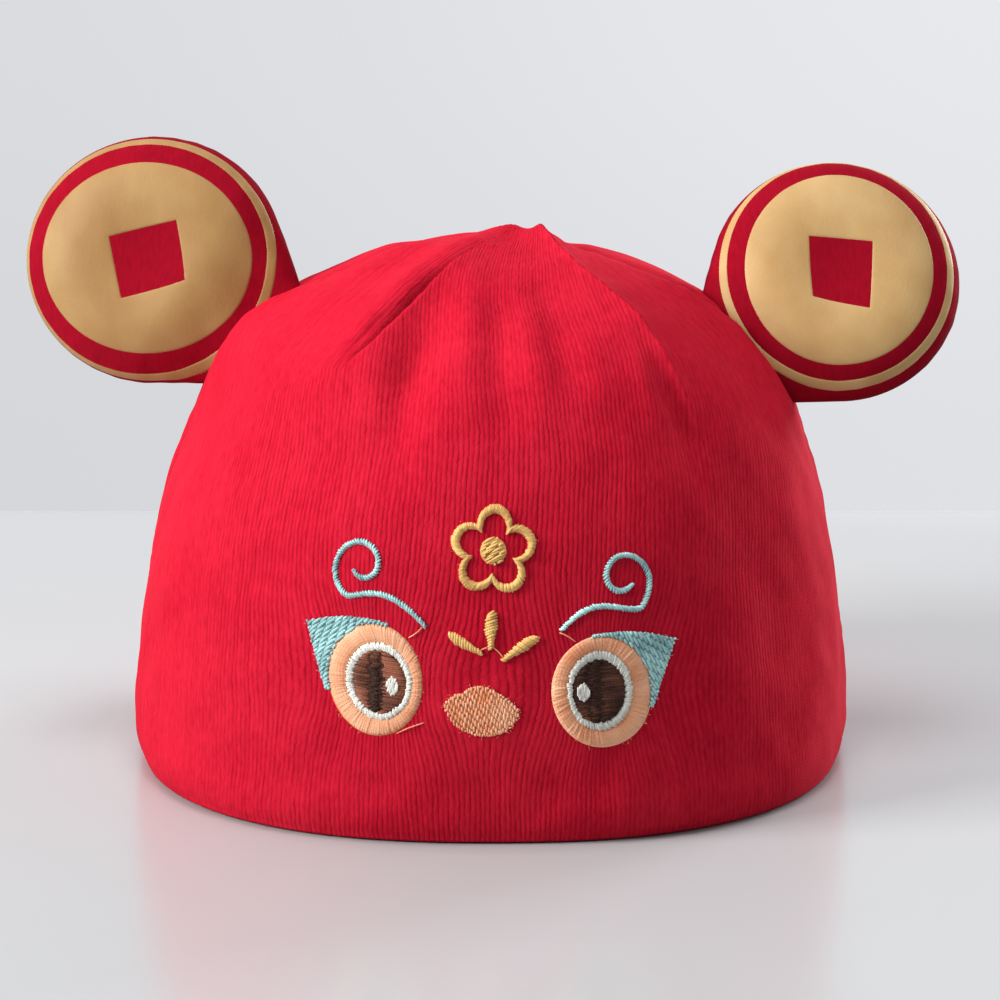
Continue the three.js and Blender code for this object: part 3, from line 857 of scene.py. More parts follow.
    def relief(self, angle: Array, rise: Array, radius: Array, fine: bool) -> Array:
        """How far the cloth lies below the plain dome.

        Args:
            angle: The angles from the front.
            rise: The places along the profile.
            radius: The crown's half width there.
            fine: Whether seam grooves and puckers count too.

        Returns:
            The depth at each place, in millimetres.
        """
        x = radius * np.sin(angle)
        front = radius * np.cos(angle)
        depth = np.zeros(np.broadcast(angle, rise).shape)
        for dart in self.darts:
            along, away, on_half = self._dart_place(dart, x, front)
            dent = dart.depth * bell(away - dart.offset, dart.width)
            depth += dent * smooth(*self.dart_fade, along) * on_half
            if fine:
                depth += self._dart_detail(dart, along, away, on_half, radius)
        if fine:
            depth += self.seam_depth * bell(front, self.seam_width) * smooth(*self.peak_fade, radius)
            climb = rise * self.length
            sway = np.sin(climb * self.seam_wander) * self.seam_sway
            waves = np.sin(climb / self.pucker_length * TURN + sway) * smooth(*self.seam_fade, rise)
            depth += self.pucker_depth * waves * bell(front, self.pucker_reach)
        for fold in self.folds:
            climbed = np.clip((rise - fold.from_rise) / (fold.to_rise - fold.from_rise), 0, 1)
            course = np.radians(fold.low_angle + (fold.high_angle - fold.low_angle) * climbed)
            away = radius * turn_between(angle, course)
            middle = (fold.from_rise + fold.to_rise) / 2
            fade = smooth(fold.from_rise, middle, rise) * (1 - smooth(middle, fold.to_rise, rise))
            width = fold.width * np.where(away > 0, fold.spread, 1.0)
            depth += fold.depth * bell(away, width) * fade * smooth(*self.fold_fade, radius)
        return depth

    def point(self, angle: Array, rise: Array, inset: Amount = 0.0, fine: bool = True) -> Array:
        """Points of the crown.

        Args:
            angle: The angles from the front.
            rise: The places along the profile.
            inset: How far into the cloth; a negative inset stands off it.
            fine: Whether seams, puckers and unevenness count too.

        Returns:
            The points, in millimetres.
        """
        half_width = self.section("half_width", rise)
        half_depth = self.section("half_depth", rise)
        power = self.section("squareness", rise)
        low = np.maximum(rise - self.slope_step, 0)
        high = np.minimum(rise + self.slope_step, 1)
        climb = self.section("height", high) - self.section("height", low)
        narrowing = self.section("half_width", high) - self.section("half_width", low)
        length = np.hypot(climb, narrowing)
        normal_up = -narrowing / length * smooth(0, self.hem_rise, rise)
        normal_out = climb / length * smooth(0, self.peak_flat, half_width)
        wide = np.abs(np.sin(angle)) / np.maximum(half_width, 1e-6)
        deep = np.abs(np.cos(angle)) / np.maximum(half_depth, 1e-6)
        plain = (wide ** power + deep ** power) ** (-1 / power)
        sunk = self.relief(angle, rise, half_width, fine) + inset
        centre_x = self.section("shift_x", rise)
        centre_y = self.section("shift_back", rise)
        height = self.section("height", rise)
        if fine:
            seat = ringed(centre_x, centre_y, height, plain, angle)
            still = smooth(0.0, self.still_rise, rise) * smooth(0.0, self.still_peak, half_width)
            for ripple in self.ripples:
                sunk = sunk + ripple.at(seat) * still
        radius = np.maximum(plain - sunk * normal_out, 0)
        return ringed(centre_x, centre_y, height - sunk * normal_up, radius, angle)

    def depth(self, points: Array) -> Array:
        """About how far points lie inside the crown's outer face.

        Args:
            points: The points.

        Returns:
            The depth of each point, which is negative outside the crown.
        """
        rises = np.linspace(0, 1, self.depth_steps)
        heights = self.section("height", rises)
        rise = np.interp(points[..., 2], heights, rises)
        x = points[..., 0] - self.section("shift_x", rise)
        y = points[..., 1] - self.section("shift_back", rise)
        shell = self.point(np.arctan2(x, -y), rise, fine=False)
        room = np.hypot(shell[..., 0] - points[..., 0] + x, shell[..., 1] - points[..., 1] + y)
        slope = np.gradient(self.section("half_width", rises), heights)
        slope = np.clip(slope, -self.steepest, self.steepest)
        lean = 1 / np.hypot(1, np.interp(rise, rises, slope))
        above = np.maximum(points[..., 2] - heights[-1], 0)
        return (room - np.hypot(x, y)) * lean - above

    def _dart_angle(self, dart: Dart, radius: Array) -> Array:
        """The angle from the front at which a dart crosses each radius.

        Args:
            dart: The dart.
            radius: The radii; below the tip, the tip's own angle holds.

        Returns:
            The angle at each radius.
        """
        share = np.linspace(0, 1, self.line_steps)
        inwards = -math.copysign(1.0, dart.tip_x * dart.run_front) * dart.bowed(share) / dart.length
        x = dart.tip_x + share * dart.run_x + inwards * dart.run_front
        front = dart.tip_front + share * dart.run_front - inwards * dart.run_x
        reach = np.hypot(x, front)
        nearest = int(np.argmin(reach))
        angle = np.arctan2(x, front)
        return np.interp(radius, reach[nearest::-1], angle[nearest::-1])

    def _wale_girth(self, radius: Amount) -> Amount:
        """How wide a radian of the knitted panel is, which narrows less than the crown does."""
        return self.girth * (radius / self.girth) ** self.wale_taper

    def cloth(self, angle: Array, rise: Array, half: Half) -> Array:
        """Where each place lies in the knitted panel before it was darted.

        Args:
            angle: The angles from the front.
            rise: The places along the profile.
            half: The panel.

        Returns:
            The distance across the wales, the distance along them, and how near a seam groove the place is,
            which paints shade there; it is negative where a highlight is painted along the crest of a sharp
            fold.
        """
        radius = np.maximum(self.section("half_width", rise), 1e-3)
        x = radius * np.sin(angle)
        front = radius * np.cos(angle)
        off_middle = turn_between(angle, half.value)
        girth = self._wale_girth(radius)
        wale = girth * off_middle
        near = np.zeros(np.broadcast(angle, rise).shape)
        facing = 1 if half is Half.FRONT else -1
        for dart in self.darts:
            if dart.tip_front * facing < 0:
                continue
            tip = math.hypot(dart.tip_x, dart.tip_front)
            tip_angle = turn_between(math.atan2(dart.tip_x, dart.tip_front), half.value)
            off = off_middle - turn_between(self._dart_angle(dart, radius), half.value)
            beyond = (off * np.sign(tip_angle) > 0) & (radius < tip)
            wale = np.where(beyond, self._wale_girth(tip) * tip_angle + girth * off, wale)
            along, away, on_half = self._dart_place(dart, x, front)
            # Painted shade along the dart's groove.
            line = bell(away, self.groove_width * self.line_share) * smooth(*self.line_fade, along) * on_half
            line = min(dart.groove, 1.0) * line * (1 - smooth(*self.groove_fade, along))
            # Painted highlight along the crest of a sharp fold, as a negative mark.
            glow = bell(away - self.glow_off, self.glow_width) * smooth(*self.crest_fade, along) * on_half
            near = np.maximum(near, line) - dart.crest * glow
        # Painted shade along the side seam's groove.
        seam = self.seam_line_tone * bell(front, self.seam_width * self.seam_line_share)
        return np.stack(np.broadcast_arrays(wale, rise * self.length, np.maximum(near, seam)), -1)


@dataclass(frozen=True)
class FaceChart:
    """Places the stitching, by millimetres across and up the cloth from the middle of the eyes and off it."""

    crown: CrownShape
    radius: float = 64.0
    across: float = -0.2
    up: float = 29.1
    drop: float = 0.054

    def place(self, across: Array, up: Array, lift: Array) -> Array:
        """Points of the face."""
        angle = (self.across + across) / self.radius
        rise = (self.up + up - across * self.drop) / self.crown.length
        points = self.crown.point(angle, rise, -lift)
        points[..., 1] += self.crown.seam_lap
        return points

    def position(self, angle: Array, rise: Array) -> tuple[Array, Array]:
        """The face's own measures of places on the crown."""
        across = angle * self.radius - self.across
        return across, rise * self.crown.length - self.up + across * self.drop


@dataclass(frozen=True)
class Crown:
    """The two panels of double jersey, each a closed shell with a folded hem."""

    shape: CrownShape
    face: FaceChart
    wall: float = 2.4
    hem_radius: float = 1.2
    columns: int = 360
    outer_rows: int = 196
    hem_rows: int = 9
    inner_rows: int = 32
    edge_gather: float = 0.6
    eye_across: float = 20.1
    eye_pull: float = 3.6
    eye_reach: float = 9.0
    eye_radius: float = 9.5
    eye_still: float = 2.0
    hem_search: float = 0.1
    hem_steps: int = 200
    hem_level: float = 0.001
    peak_seam: float = 0.3

    def _rows(self) -> tuple[Array, Array, Array, Array]:
        """Each row's rise, inset, drop and outer share, from the outer peak round the hem and back."""
        low = np.linspace(0, self.hem_search, self.hem_steps)
        start = float(np.interp(self.hem_radius, self.shape.section("height", low), low))
        outer = np.linspace(1, start, self.outer_rows + 1)[1:]
        fold = np.linspace(0, math.pi, self.hem_rows + 2)[1:-1]
        inner = np.linspace(start, 1, self.inner_rows + 1)[:-1]
        rise = np.concatenate([outer, np.full(len(fold), start), inner])
        inset = np.concatenate([np.zeros(len(outer)), self.wall / 2 * (1 - np.cos(fold)),
                                np.full(len(inner), self.wall)])
        drop = np.concatenate([np.zeros(len(outer)), self.hem_radius * np.sin(fold), np.zeros(len(inner))])
        outside = np.concatenate([np.ones(len(outer)), (1 + np.cos(fold)) / 2, np.zeros(len(inner))])
        return rise, inset, drop, outside

    def _pulled(self, angle: Array, rise: Array, wale: Array) -> Array:
        """Wales drawn in towards each eye by its dense stitching.

        Args:
            angle: The angles from the front.
            rise: The places along the profile.
            wale: The distance across the wales of the plain cloth.

        Returns:
            The distance across the wales of the drawn cloth.
        """
        across, up = self.face.position(angle, rise)
        for side in Side:
            off_x = across - side.value * self.eye_across
            distance = np.hypot(off_x, up) + 1e-6
            ring = bell(np.maximum(distance - self.eye_radius, 0), self.eye_reach)
            open_eye = smooth(self.eye_still, self.eye_radius, distance)
            wale = wale + self.eye_pull * off_x / distance * ring * open_eye
        return wale

    def panel(self, half: Half) -> Surface:
        """Makes one panel."""
        rise, inset, drop, outside = self._rows()
        columns = self.columns + 1
        rows = len(rise)
        u = np.linspace(-1, 1, columns)
        gathered = (1 - self.edge_gather) * u + self.edge_gather * (1.5 * u - 0.5 * u ** 3)
        angle = (half.value + math.pi / 2 * gathered)[None, :]
        fine = self.shape.point(angle, rise[:, None], inset[:, None])
        plain = self.shape.point(angle, rise[:, None], inset[:, None], fine=False)
        points = plain + (fine - plain) * outside[:, None, None]
        points[..., 2] -= drop[:, None]
        cloth = self.shape.cloth(angle, rise[:, None], half)
        if half is Half.FRONT:
            cloth[..., 0] = self._pulled(angle, rise[:, None], cloth[..., 0])
        cloth[..., 1] -= inset[:, None] * 2 + drop[:, None]
        poles = self.shape.point(np.zeros(2), np.ones(2), np.array([0.0, self.wall]), fine=False)
        # The poles carry a little painted shade at the peak seam.
        pole_cloth = np.array([[0.0, self.shape.length, self.peak_seam]] * 2)
        points = np.concatenate([points.reshape(-1, 3), poles])
        points[:, 1] += math.cos(half.value) * self.shape.seam_lap
        cloth = np.concatenate([cloth.reshape(-1, 3), pole_cloth])
        last = rows * columns
        first_row = np.arange(columns)
        last_row = first_row + last - columns
        triangles = [fan(last, first_row[1:], first_row[:-1]), fan(last + 1, last_row[:-1], last_row[1:])]
        level = 1 - rise + drop * self.hem_level
        middle = self.outer_rows + self.hem_rows // 2
        outer_level = np.concatenate([[0.0], level[:middle + 1]])
        inner_level = np.concatenate([[0.0], level[middle:][::-1]])
        for column, turned in ((0, False), (columns - 1, True)):
            outer = np.concatenate([[last], column + np.arange(middle + 1) * columns])
            inner = np.concatenate([[last + 1], column + np.arange(rows - 1, middle - 1, -1) * columns])
            edge = zipped(outer, inner, outer_level, inner_level)
            triangles.append(edge[:, ::-1] if turned else edge)
        quads = grid_quads(rows, columns, closed=False)
        return Surface(points, quads, np.concatenate(triangles), cloth).outward()

    def build(self) -> None:
        """Makes and dresses both panels."""
        material = CROWN_CLOTH.material()
        for half in Half:
            node = f"crown_{half.word}"
            self.panel(half).piece(f"{node}_cloth", "cloth", material, "knit", node)


def zipped(first: Array, second: Array, first_level: Array, second_level: Array) -> Array:
    """Triangles between two lines of points that run side by side.

    Args:
        first: The numbers of the points on one line.
        second: The numbers of the points on the other line.
        first_level: How far along each point of the first line is.
        second_level: How far along each point of the second line is.

    Returns:
        The corners of each triangle, without those that have shrunk to a line.
    """
    faces = []
    i = 0
    j = 0
    while i < len(first) - 1 or j < len(second) - 1:
        first_left = i < len(first) - 1
        second_left = j < len(second) - 1
        if not second_left or (first_left and first_level[i + 1] <= second_level[j + 1]):
            faces.append((first[i], first[i + 1], second[j]))
            i += 1
        else:
            faces.append((first[i], second[j + 1], second[j]))
            j += 1
    return np.array([face for face in faces if len(set(face)) == 3])


@dataclass(frozen=True)
class EarShape:
    """One stuffed ear: a padded disc with a rim seam, whose neck runs into the crown's side seam."""

    side: Side
    x: float
    back: float
    height: float
    azimuth: float
    elevation: float
    neck: float
    half_wide: float
    half_high: float
    seed: int
    front_puff: float = 7.6
    back_puff: float = 7.0
    rim: float = 0.65
    neck_spread: float = math.radians(54)
    neck_reach: float = 34.0
    pinch_from: float = 8.0
    pinch_to: float = 26.0
    pinch_loss: float = 0.6
    dimple: float = 1.5
    dimple_width: float = 9.0
    edge_power: float = 3.2
    fall_power: float = 0.62
    pucker_depth: float = 0.10
    pucker_count: int = 31
    pucker_rise: Pair = (0.72, 0.96)
    pucker_fall: Pair = (0.985, 1.0)
    lip_power: int = 24
    crease_depth: float = 0.45
    crease_count: float = 9.0
    crease_rise: Pair = (15.0, 25.0)
    crease_fall: Pair = (0.9, 1.0)
    normal_step: float = 0.2
    seam_width: float = 0.5
    back_shift: float = 150.0

    @cached_property
    def axes(self) -> Array:
        """The way to the ear's right, the way up it and the way it faces, one a line."""
        azimuth = math.radians(self.azimuth)
        elevation = math.radians(self.elevation)
        right = np.array([math.cos(azimuth), math.sin(azimuth), 0.0])
        out = np.array([math.sin(azimuth) * math.cos(elevation), -math.cos(azimuth) * math.cos(elevation),
                        math.sin(elevation)])
        return np.stack([right, np.cross(out, right), out])

    @property
    def middle(self) -> Array:
        """The middle of the rim seam."""
        return np.array([self.x, self.back, self.height])

    def pucker(self, angle: Array) -> Array:
        """How the stitches of the rim seam draw the cloth in, from -1 to 1 round the rim."""
        draw = np.random.default_rng(self.seed)
        first, second, third = draw.uniform(0, TURN, 3)
        return (np.sin(self.pucker_count * angle + first + 1.4 * np.sin(3 * angle + second)) * 0.6
                + np.sin(13 * angle + third) * 0.4)

    def rim_radius(self, angle: Array) -> Array:
        """How far the rim lies from the ear's middle: an oval whose tangents run on into the neck."""
        round_rim = 1 / np.hypot(np.cos(angle) / self.half_wide, np.sin(angle) / self.half_high)
        from_neck = np.abs(turn_between(angle, math.radians(self.neck)))
        towards = np.minimum(round_rim / np.cos(np.clip(self.neck_spread - from_neck, 0, 1.3)),
                             self.neck_reach / np.cos(np.clip(from_neck, 0, 1.3)))
        return np.where(from_neck < self.neck_spread, towards, round_rim)

    def puff(self, x: Array, y: Array, facing: int) -> Array:
        """Height of the padded cloth above the rim seam.

        Args:
            x: The places across the ear.
            y: The places up it.
            facing: 1 for the front and -1 for the back.

        Returns:
            The height at each place.
        """
        radius = np.hypot(x, y)
        angle = np.arctan2(y, x)
        from_neck = turn_between(angle, math.radians(self.neck))
        share = np.minimum(radius / self.rim_radius(angle), 1)
        towards_neck = radius * np.cos(from_neck)
        pinch = 1 - self.pinch_loss * smooth(self.pinch_from, self.pinch_to, towards_neck)
        fullest = self.front_puff if facing > 0 else self.back_puff
        body = fullest * np.maximum(1 - share ** self.edge_power, 0) ** self.fall_power * pinch
        body = body - (self.dimple * bell(radius, self.dimple_width) if facing > 0 else 0.0)
        lip = self.rim * np.sqrt(np.maximum(1 - share ** self.lip_power, 0))
        drawn = self.pucker_depth * self.pucker(angle) * smooth(*self.pucker_rise, share)
        drawn = drawn * (1 - smooth(*self.pucker_fall, share))
        creases = self.crease_depth * np.sin(from_neck * self.crease_count + self.seed)
        creases = creases * smooth(*self.crease_rise, towards_neck) * (1 - smooth(*self.crease_fall, share))
        return body + lip + drawn + creases

    def point(self, x: Array, y: Array, height: Array) -> Array:
        """A point at a place on the ear's plane and a height off it."""
        right, up, out = self.axes
        return self.middle + x[..., None] * right + y[..., None] * up + height[..., None] * out

    def _front(self, x: Array, y: Array) -> Array:
        """Points on the front of the ear."""
        return self.point(x, y, self.puff(x, y, 1))

    def on_front(self, x: Array, y: Array, lift: Array) -> Array:
        """Points on the front of the ear, lifted off the cloth the way the cloth faces."""
        step = self.normal_step
        across = self._front(x + step, y) - self._front(x - step, y)
        along = self._front(x, y + step) - self._front(x, y - step)
        normal = np.cross(across, along)
        normal /= np.linalg.norm(normal, axis=-1, keepdims=True)
        return self._front(x, y) + normal * np.broadcast_to(lift, x.shape)[..., None]

    def cloth(self, x: Array, y: Array, facing: int) -> Array:
        """Where a place lies in the ear's knitted cloth, and how near the rim seam it is, which paints shade
        along the seam.
        """
        near = bell(self.rim_radius(np.arctan2(y, x)) - np.hypot(x, y), self.seam_width)
        return np.stack([x + self.back_shift * facing, y, near], -1)


@dataclass(frozen=True)
class Ear:
    """The stuffed cover of one ear, as one closed piece."""

    shape: EarShape
    crown: CrownShape
    sectors: int = 260
    rings: int = 62
    sewn_depth: float = 0.9
    fill: float = 0.85
    settle_steps: int = 14
    rim_pucker: float = 0.003
    neck_seam: float = 0.7

    def _sewn(self, points: Array) -> Array:
        """Ends the neck in the crown's seam: what would lie deeper is drawn back to the ear's middle.

        Args:
            points: The points of the cover.

        Returns:
            The points, none deeper in the crown than the neck is sewn.
        """
        deep = self.crown.depth(points) > self.sewn_depth
        middle = self.shape.middle
        inside = points[deep] - middle
        near = np.zeros(len(inside))
        far = np.ones(len(inside))
        for _ in range(self.settle_steps):
            share = (near + far) / 2
            too_deep = self.crown.depth(middle + inside * share[:, None]) > self.sewn_depth
            far = np.where(too_deep, share, far)
            near = np.where(too_deep, near, share)
        points[deep] = middle + inside * near[:, None]
        return points

    def cover(self) -> Surface:
        """Makes the closed cover, front and back."""
        angle = np.arange(self.sectors) * TURN / self.sectors
        share = np.sin(np.pi / 2 * np.linspace(0, 1, self.rings + 1))[1:]
        rim = self.shape.rim_radius(angle) * (1 + self.rim_pucker * self.shape.pucker(angle))
        parts = []
        marks = []
        for facing, shares in ((1, share), (-1, share[:-1][::-1])):
            radius = shares[:, None] * rim
            x = radius * np.cos(angle)
            y = radius * np.sin(angle)
            height = np.where(shares[:, None] < 1, self.shape.puff(x, y, facing), 0.0)
            parts.append(self.shape.point(x, y, facing * height).reshape(-1, 3))
            marks.append(self.shape.cloth(x, y, facing).reshape(-1, 3))
        zero = np.zeros(1)
        for facing in (1, -1):
            parts.append(self.shape.point(zero, zero, facing * self.shape.puff(zero, zero, facing)))
            marks.append(self.shape.cloth(zero, zero, facing))
        rows = 2 * self.rings - 1
        last = rows * self.sectors
        first_row = np.arange(self.sectors)
        last_row = first_row + last - self.sectors
        following = np.roll(first_row, -1)
        triangles = np.concatenate([fan(last, following, first_row),
                                    fan(last + 1, last_row, last_row[following])])
        points = self._sewn(np.concatenate(parts))
        cloth = np.concatenate(marks)
        # Painted shade where the neck goes into the crown.
        cloth[:, 2] = np.maximum(cloth[:, 2], bell(self.crown.depth(points), self.neck_seam))
        return Surface(points, grid_quads(rows, self.sectors, closed=True), triangles, cloth).outward()

    def build(self, material: Material) -> None:
        """Makes and dresses the ear."""
        node = f"ear_{self.shape.side.word}"
        piece = self.cover().piece(f"{node}_cover", "cloth", material, "knit", f"{node}_front",
                                   f"{node}_back")


def plate(place: Place, marked: Callable[[Array, Array], Array], inner: Array, outer: Array, rows: int,
          top: float, bottom: float, closed: bool = True, centred: bool = False) -> Surface:
    """A thin closed layer on a curved base, ruled between two edges.

    Args:
        place: Maps across, up and lift to points.
        marked: Gives the vector of each point from across and up.
        inner: One edge, as across and up.
        outer: The other edge, with as many points.
        rows: How many steps there are between the edges.
        top: The lift of the upper face; its edges are rounded down.
        bottom: The lift of the lower face.
        closed: Whether the edges are loops.
        centred: Whether the outer edge is drawn together in the middle, where nothing is rounded down.

    Returns:
        The layer.
    """
    share = np.linspace(0, 1, rows + 1)
    flat = inner[None] + (outer - inner)[None] * share[:, None, None]
    loop = np.concatenate([flat, flat[::-1]])
    nearest = share if centred else np.minimum(share, 1 - share)
    fullness = np.sqrt(np.clip(nearest * rows / 1.5, 0.12, 1))
    lift = np.concatenate([bottom + (top - bottom) * fullness, np.full(rows + 1, bottom)])
    points = place(loop[..., 0], loop[..., 1], np.broadcast_to(lift[:, None], loop.shape[:2]))
    marks = marked(loop[..., 0], loop[..., 1])
    count, columns = loop.shape[:2]
    quads = [grid_quads(count, columns, closed, looped=True)]
    if not closed:
        upper = np.arange(rows)
        lower = count - 1 - upper
        for column, turned in ((0, False), (columns - 1, True)):
            cap = np.stack([upper, upper + 1, lower - 1, lower], 1) * columns + column
            quads.append(cap[:, ::-1] if turned else cap)
    return Surface(points.reshape(-1, 3), np.concatenate(quads), np.zeros((0, 3), int),
                   marks.reshape(-1, 3)).outward()


def oval(middle: Pair, size: Pair, count: int, turn: float = 0.0) -> Array:
    """Points round an oval."""
    return np.array(middle) + np.array(size) * way(np.arange(count) * TURN / count + turn)


def oval_angle(point: Array, middle: Pair, size: Pair) -> float:
    """The angle at which a point lies, in an oval's own terms."""
    across, up = (point - np.array(middle)) / size
    return math.atan2(up, across)


@dataclass(frozen=True)
class EarPrint:
    """The gold print on one ear: a disc with a square hole, and a ring near the rim.

    The hole's corners run from the upper right over the upper left, as the print is looked at.
    """

    ear: EarShape
    disc_middle: Pair
    disc_size: Pair
    hole: tuple[Pair, ...]
    ring_middle: Pair
    ring_size: Pair
    ring_width: float
    ring_spread: float
    ring_spread_at: float
    ring_spread_over: float = 1.1
    rim_share: float = 0.998
    thickness: float = 0.045
    sunk: float = -0.05
    columns: int = 240
    disc_rows: int = 22
    ring_rows: int = 4

    def _hole_line(self) -> Array:
        """The hole's outline, from the upper right corner round to the left."""
        corners = np.array(self.hole)
        share = np.arange(self.columns // 4)[:, None] / (self.columns // 4)
        sides = zip(corners, np.roll(corners, -1, axis=0))
        return np.concatenate([corner + (following - corner) * share for corner, following in sides])

    def _marked(self, x: Array, y: Array) -> Array:
        """The cloth's own coordinates under the print."""
        return self.ear.cloth(x, y, 1)

    def _kept(self, line: Array) -> Array:
        """A line kept within the rim seam."""
        radius = np.hypot(line[:, 0], line[:, 1])
        limit = self.ear.rim_radius(np.arctan2(line[:, 1], line[:, 0])) * self.rim_share
        return line * np.minimum(1, limit / radius)[:, None]

    def _lay(self, part: str, inner: Array, outer: Array, rows: int, material: Material) -> None:
        """Makes and dresses one part of the print, between its two edges."""
        node = f"coin_{self.ear.side.word}_{part}"
        layer = plate(self.ear.on_front, self._marked, inner, outer, rows, self.thickness, self.sunk)
        layer.piece(f"{node}_print", "cloth", material, "print", node)

    def build(self, material: Material) -> None:
        """Makes and dresses the disc and the ring."""
        hole = self._hole_line()
        first = oval_angle(hole[0], self.disc_middle, self.disc_size)
        disc = oval(self.disc_middle, self.disc_size, self.columns, first)
        self._lay("disc", hole, disc, self.disc_rows, material)
        outer = oval(self.ring_middle, self.ring_size, self.columns)
        angle = np.arange(self.columns) * TURN / self.columns
        wider = bell(turn_between(angle, math.radians(self.ring_spread_at)), self.ring_spread_over)
        width = self.ring_width + self.ring_spread * wider
        middle = np.array(self.ring_middle)
        away = outer - middle
        inner = middle + away * (1 - width / np.linalg.norm(away, axis=1))[:, None]
        self._lay("ring", self._kept(inner), self._kept(outer), self.ring_rows, material)


@dataclass(frozen=True)
class Thread:
    """How a thread lies on the cloth, and its darkest and palest tone.

    Arch and base are how high its middle lies, dip how deep its ends go, stray how far they miss their place
    and raised how much higher it lies than on bare cloth, of which its ends keep the settled share.
    """

    width: float = 0.42
    height: float = 0.30
    arch: float = 0.20
    base: float = 0.12
    dip: float = -0.10
    stray: float = 0.05
    blunt: float = 0.45
    slim: float = 0.55
    settle_rate: float = 1.6
    settled: float = 0.55
    uneven_height: float = 0.025
    uneven_girth: float = 0.07
    raised: float = 0.0
    tones: Pair = (0.0, 1.0)
    segments: int = 6
    sides: int = 6


def tubes(place: Place, paths: Array, widths: Array, heights: Array, own: Array, sides: int) -> Surface:
    """Closed flattened tubes along paths on the cloth.

    Args:
        place: Maps across, up and lift to points.
        paths: Across, up and lift along each path.
        widths: The width at each step of each path.
        heights: The height at each step of each path.
        own: Each strand's own number, from 0 to 1.
        sides: How many sides a tube has.

    Returns:
        The tubes as one surface.
    """
    run = np.gradient(paths[..., :2], axis=1)
    run /= np.linalg.norm(run, axis=-1, keepdims=True) + 1e-9
    angle = np.arange(sides) * TURN / sides
    aside = np.cos(angle) * widths[..., None] / 2
    across = paths[..., 0, None] - run[..., 1, None] * aside
    up = paths[..., 1, None] + run[..., 0, None] * aside
    lift = paths[..., 2, None] + np.sin(angle) * heights[..., None] / 2
    rings = place(across, up, lift)
    ends = [place(paths[:, k, 0], paths[:, k, 1], paths[:, k, 2]) for k in (0, -1)]
    steps = np.linalg.norm(np.diff(paths, axis=1), axis=-1)
    along = np.concatenate([np.zeros((len(paths), 1)), np.cumsum(steps, axis=1)], axis=1)
    shape = rings.shape[:3]
    parts = (along[..., None], np.arange(sides) / sides, own[:, None, None])
    marks = np.stack([np.broadcast_to(part, shape) for part in parts], -1)
    end_marks = [np.stack([along[:, k], np.zeros(len(paths)), own], -1) for k in (0, -1)]
    count, length = shape[:2]
    numbers = np.arange(count * length * sides).reshape(count, length, sides)
    turned = np.roll(numbers, -1, axis=2)
    corners = (numbers[:, :-1], turned[:, :-1], turned[:, 1:], numbers[:, 1:])
    quads = np.stack([corner.ravel() for corner in corners], 1)
    tips = numbers.size + np.repeat(np.arange(count), sides)
    triangles = np.concatenate([fan(tips, turned[:, 0].ravel(), numbers[:, 0].ravel()),
                                fan(tips + count, numbers[:, -1].ravel(), turned[:, -1].ravel())])
    return Surface(np.concatenate([rings.reshape(-1, 3)] + ends), quads, triangles,
                   np.concatenate([marks.reshape(-1, 3)] + end_marks)).outward()


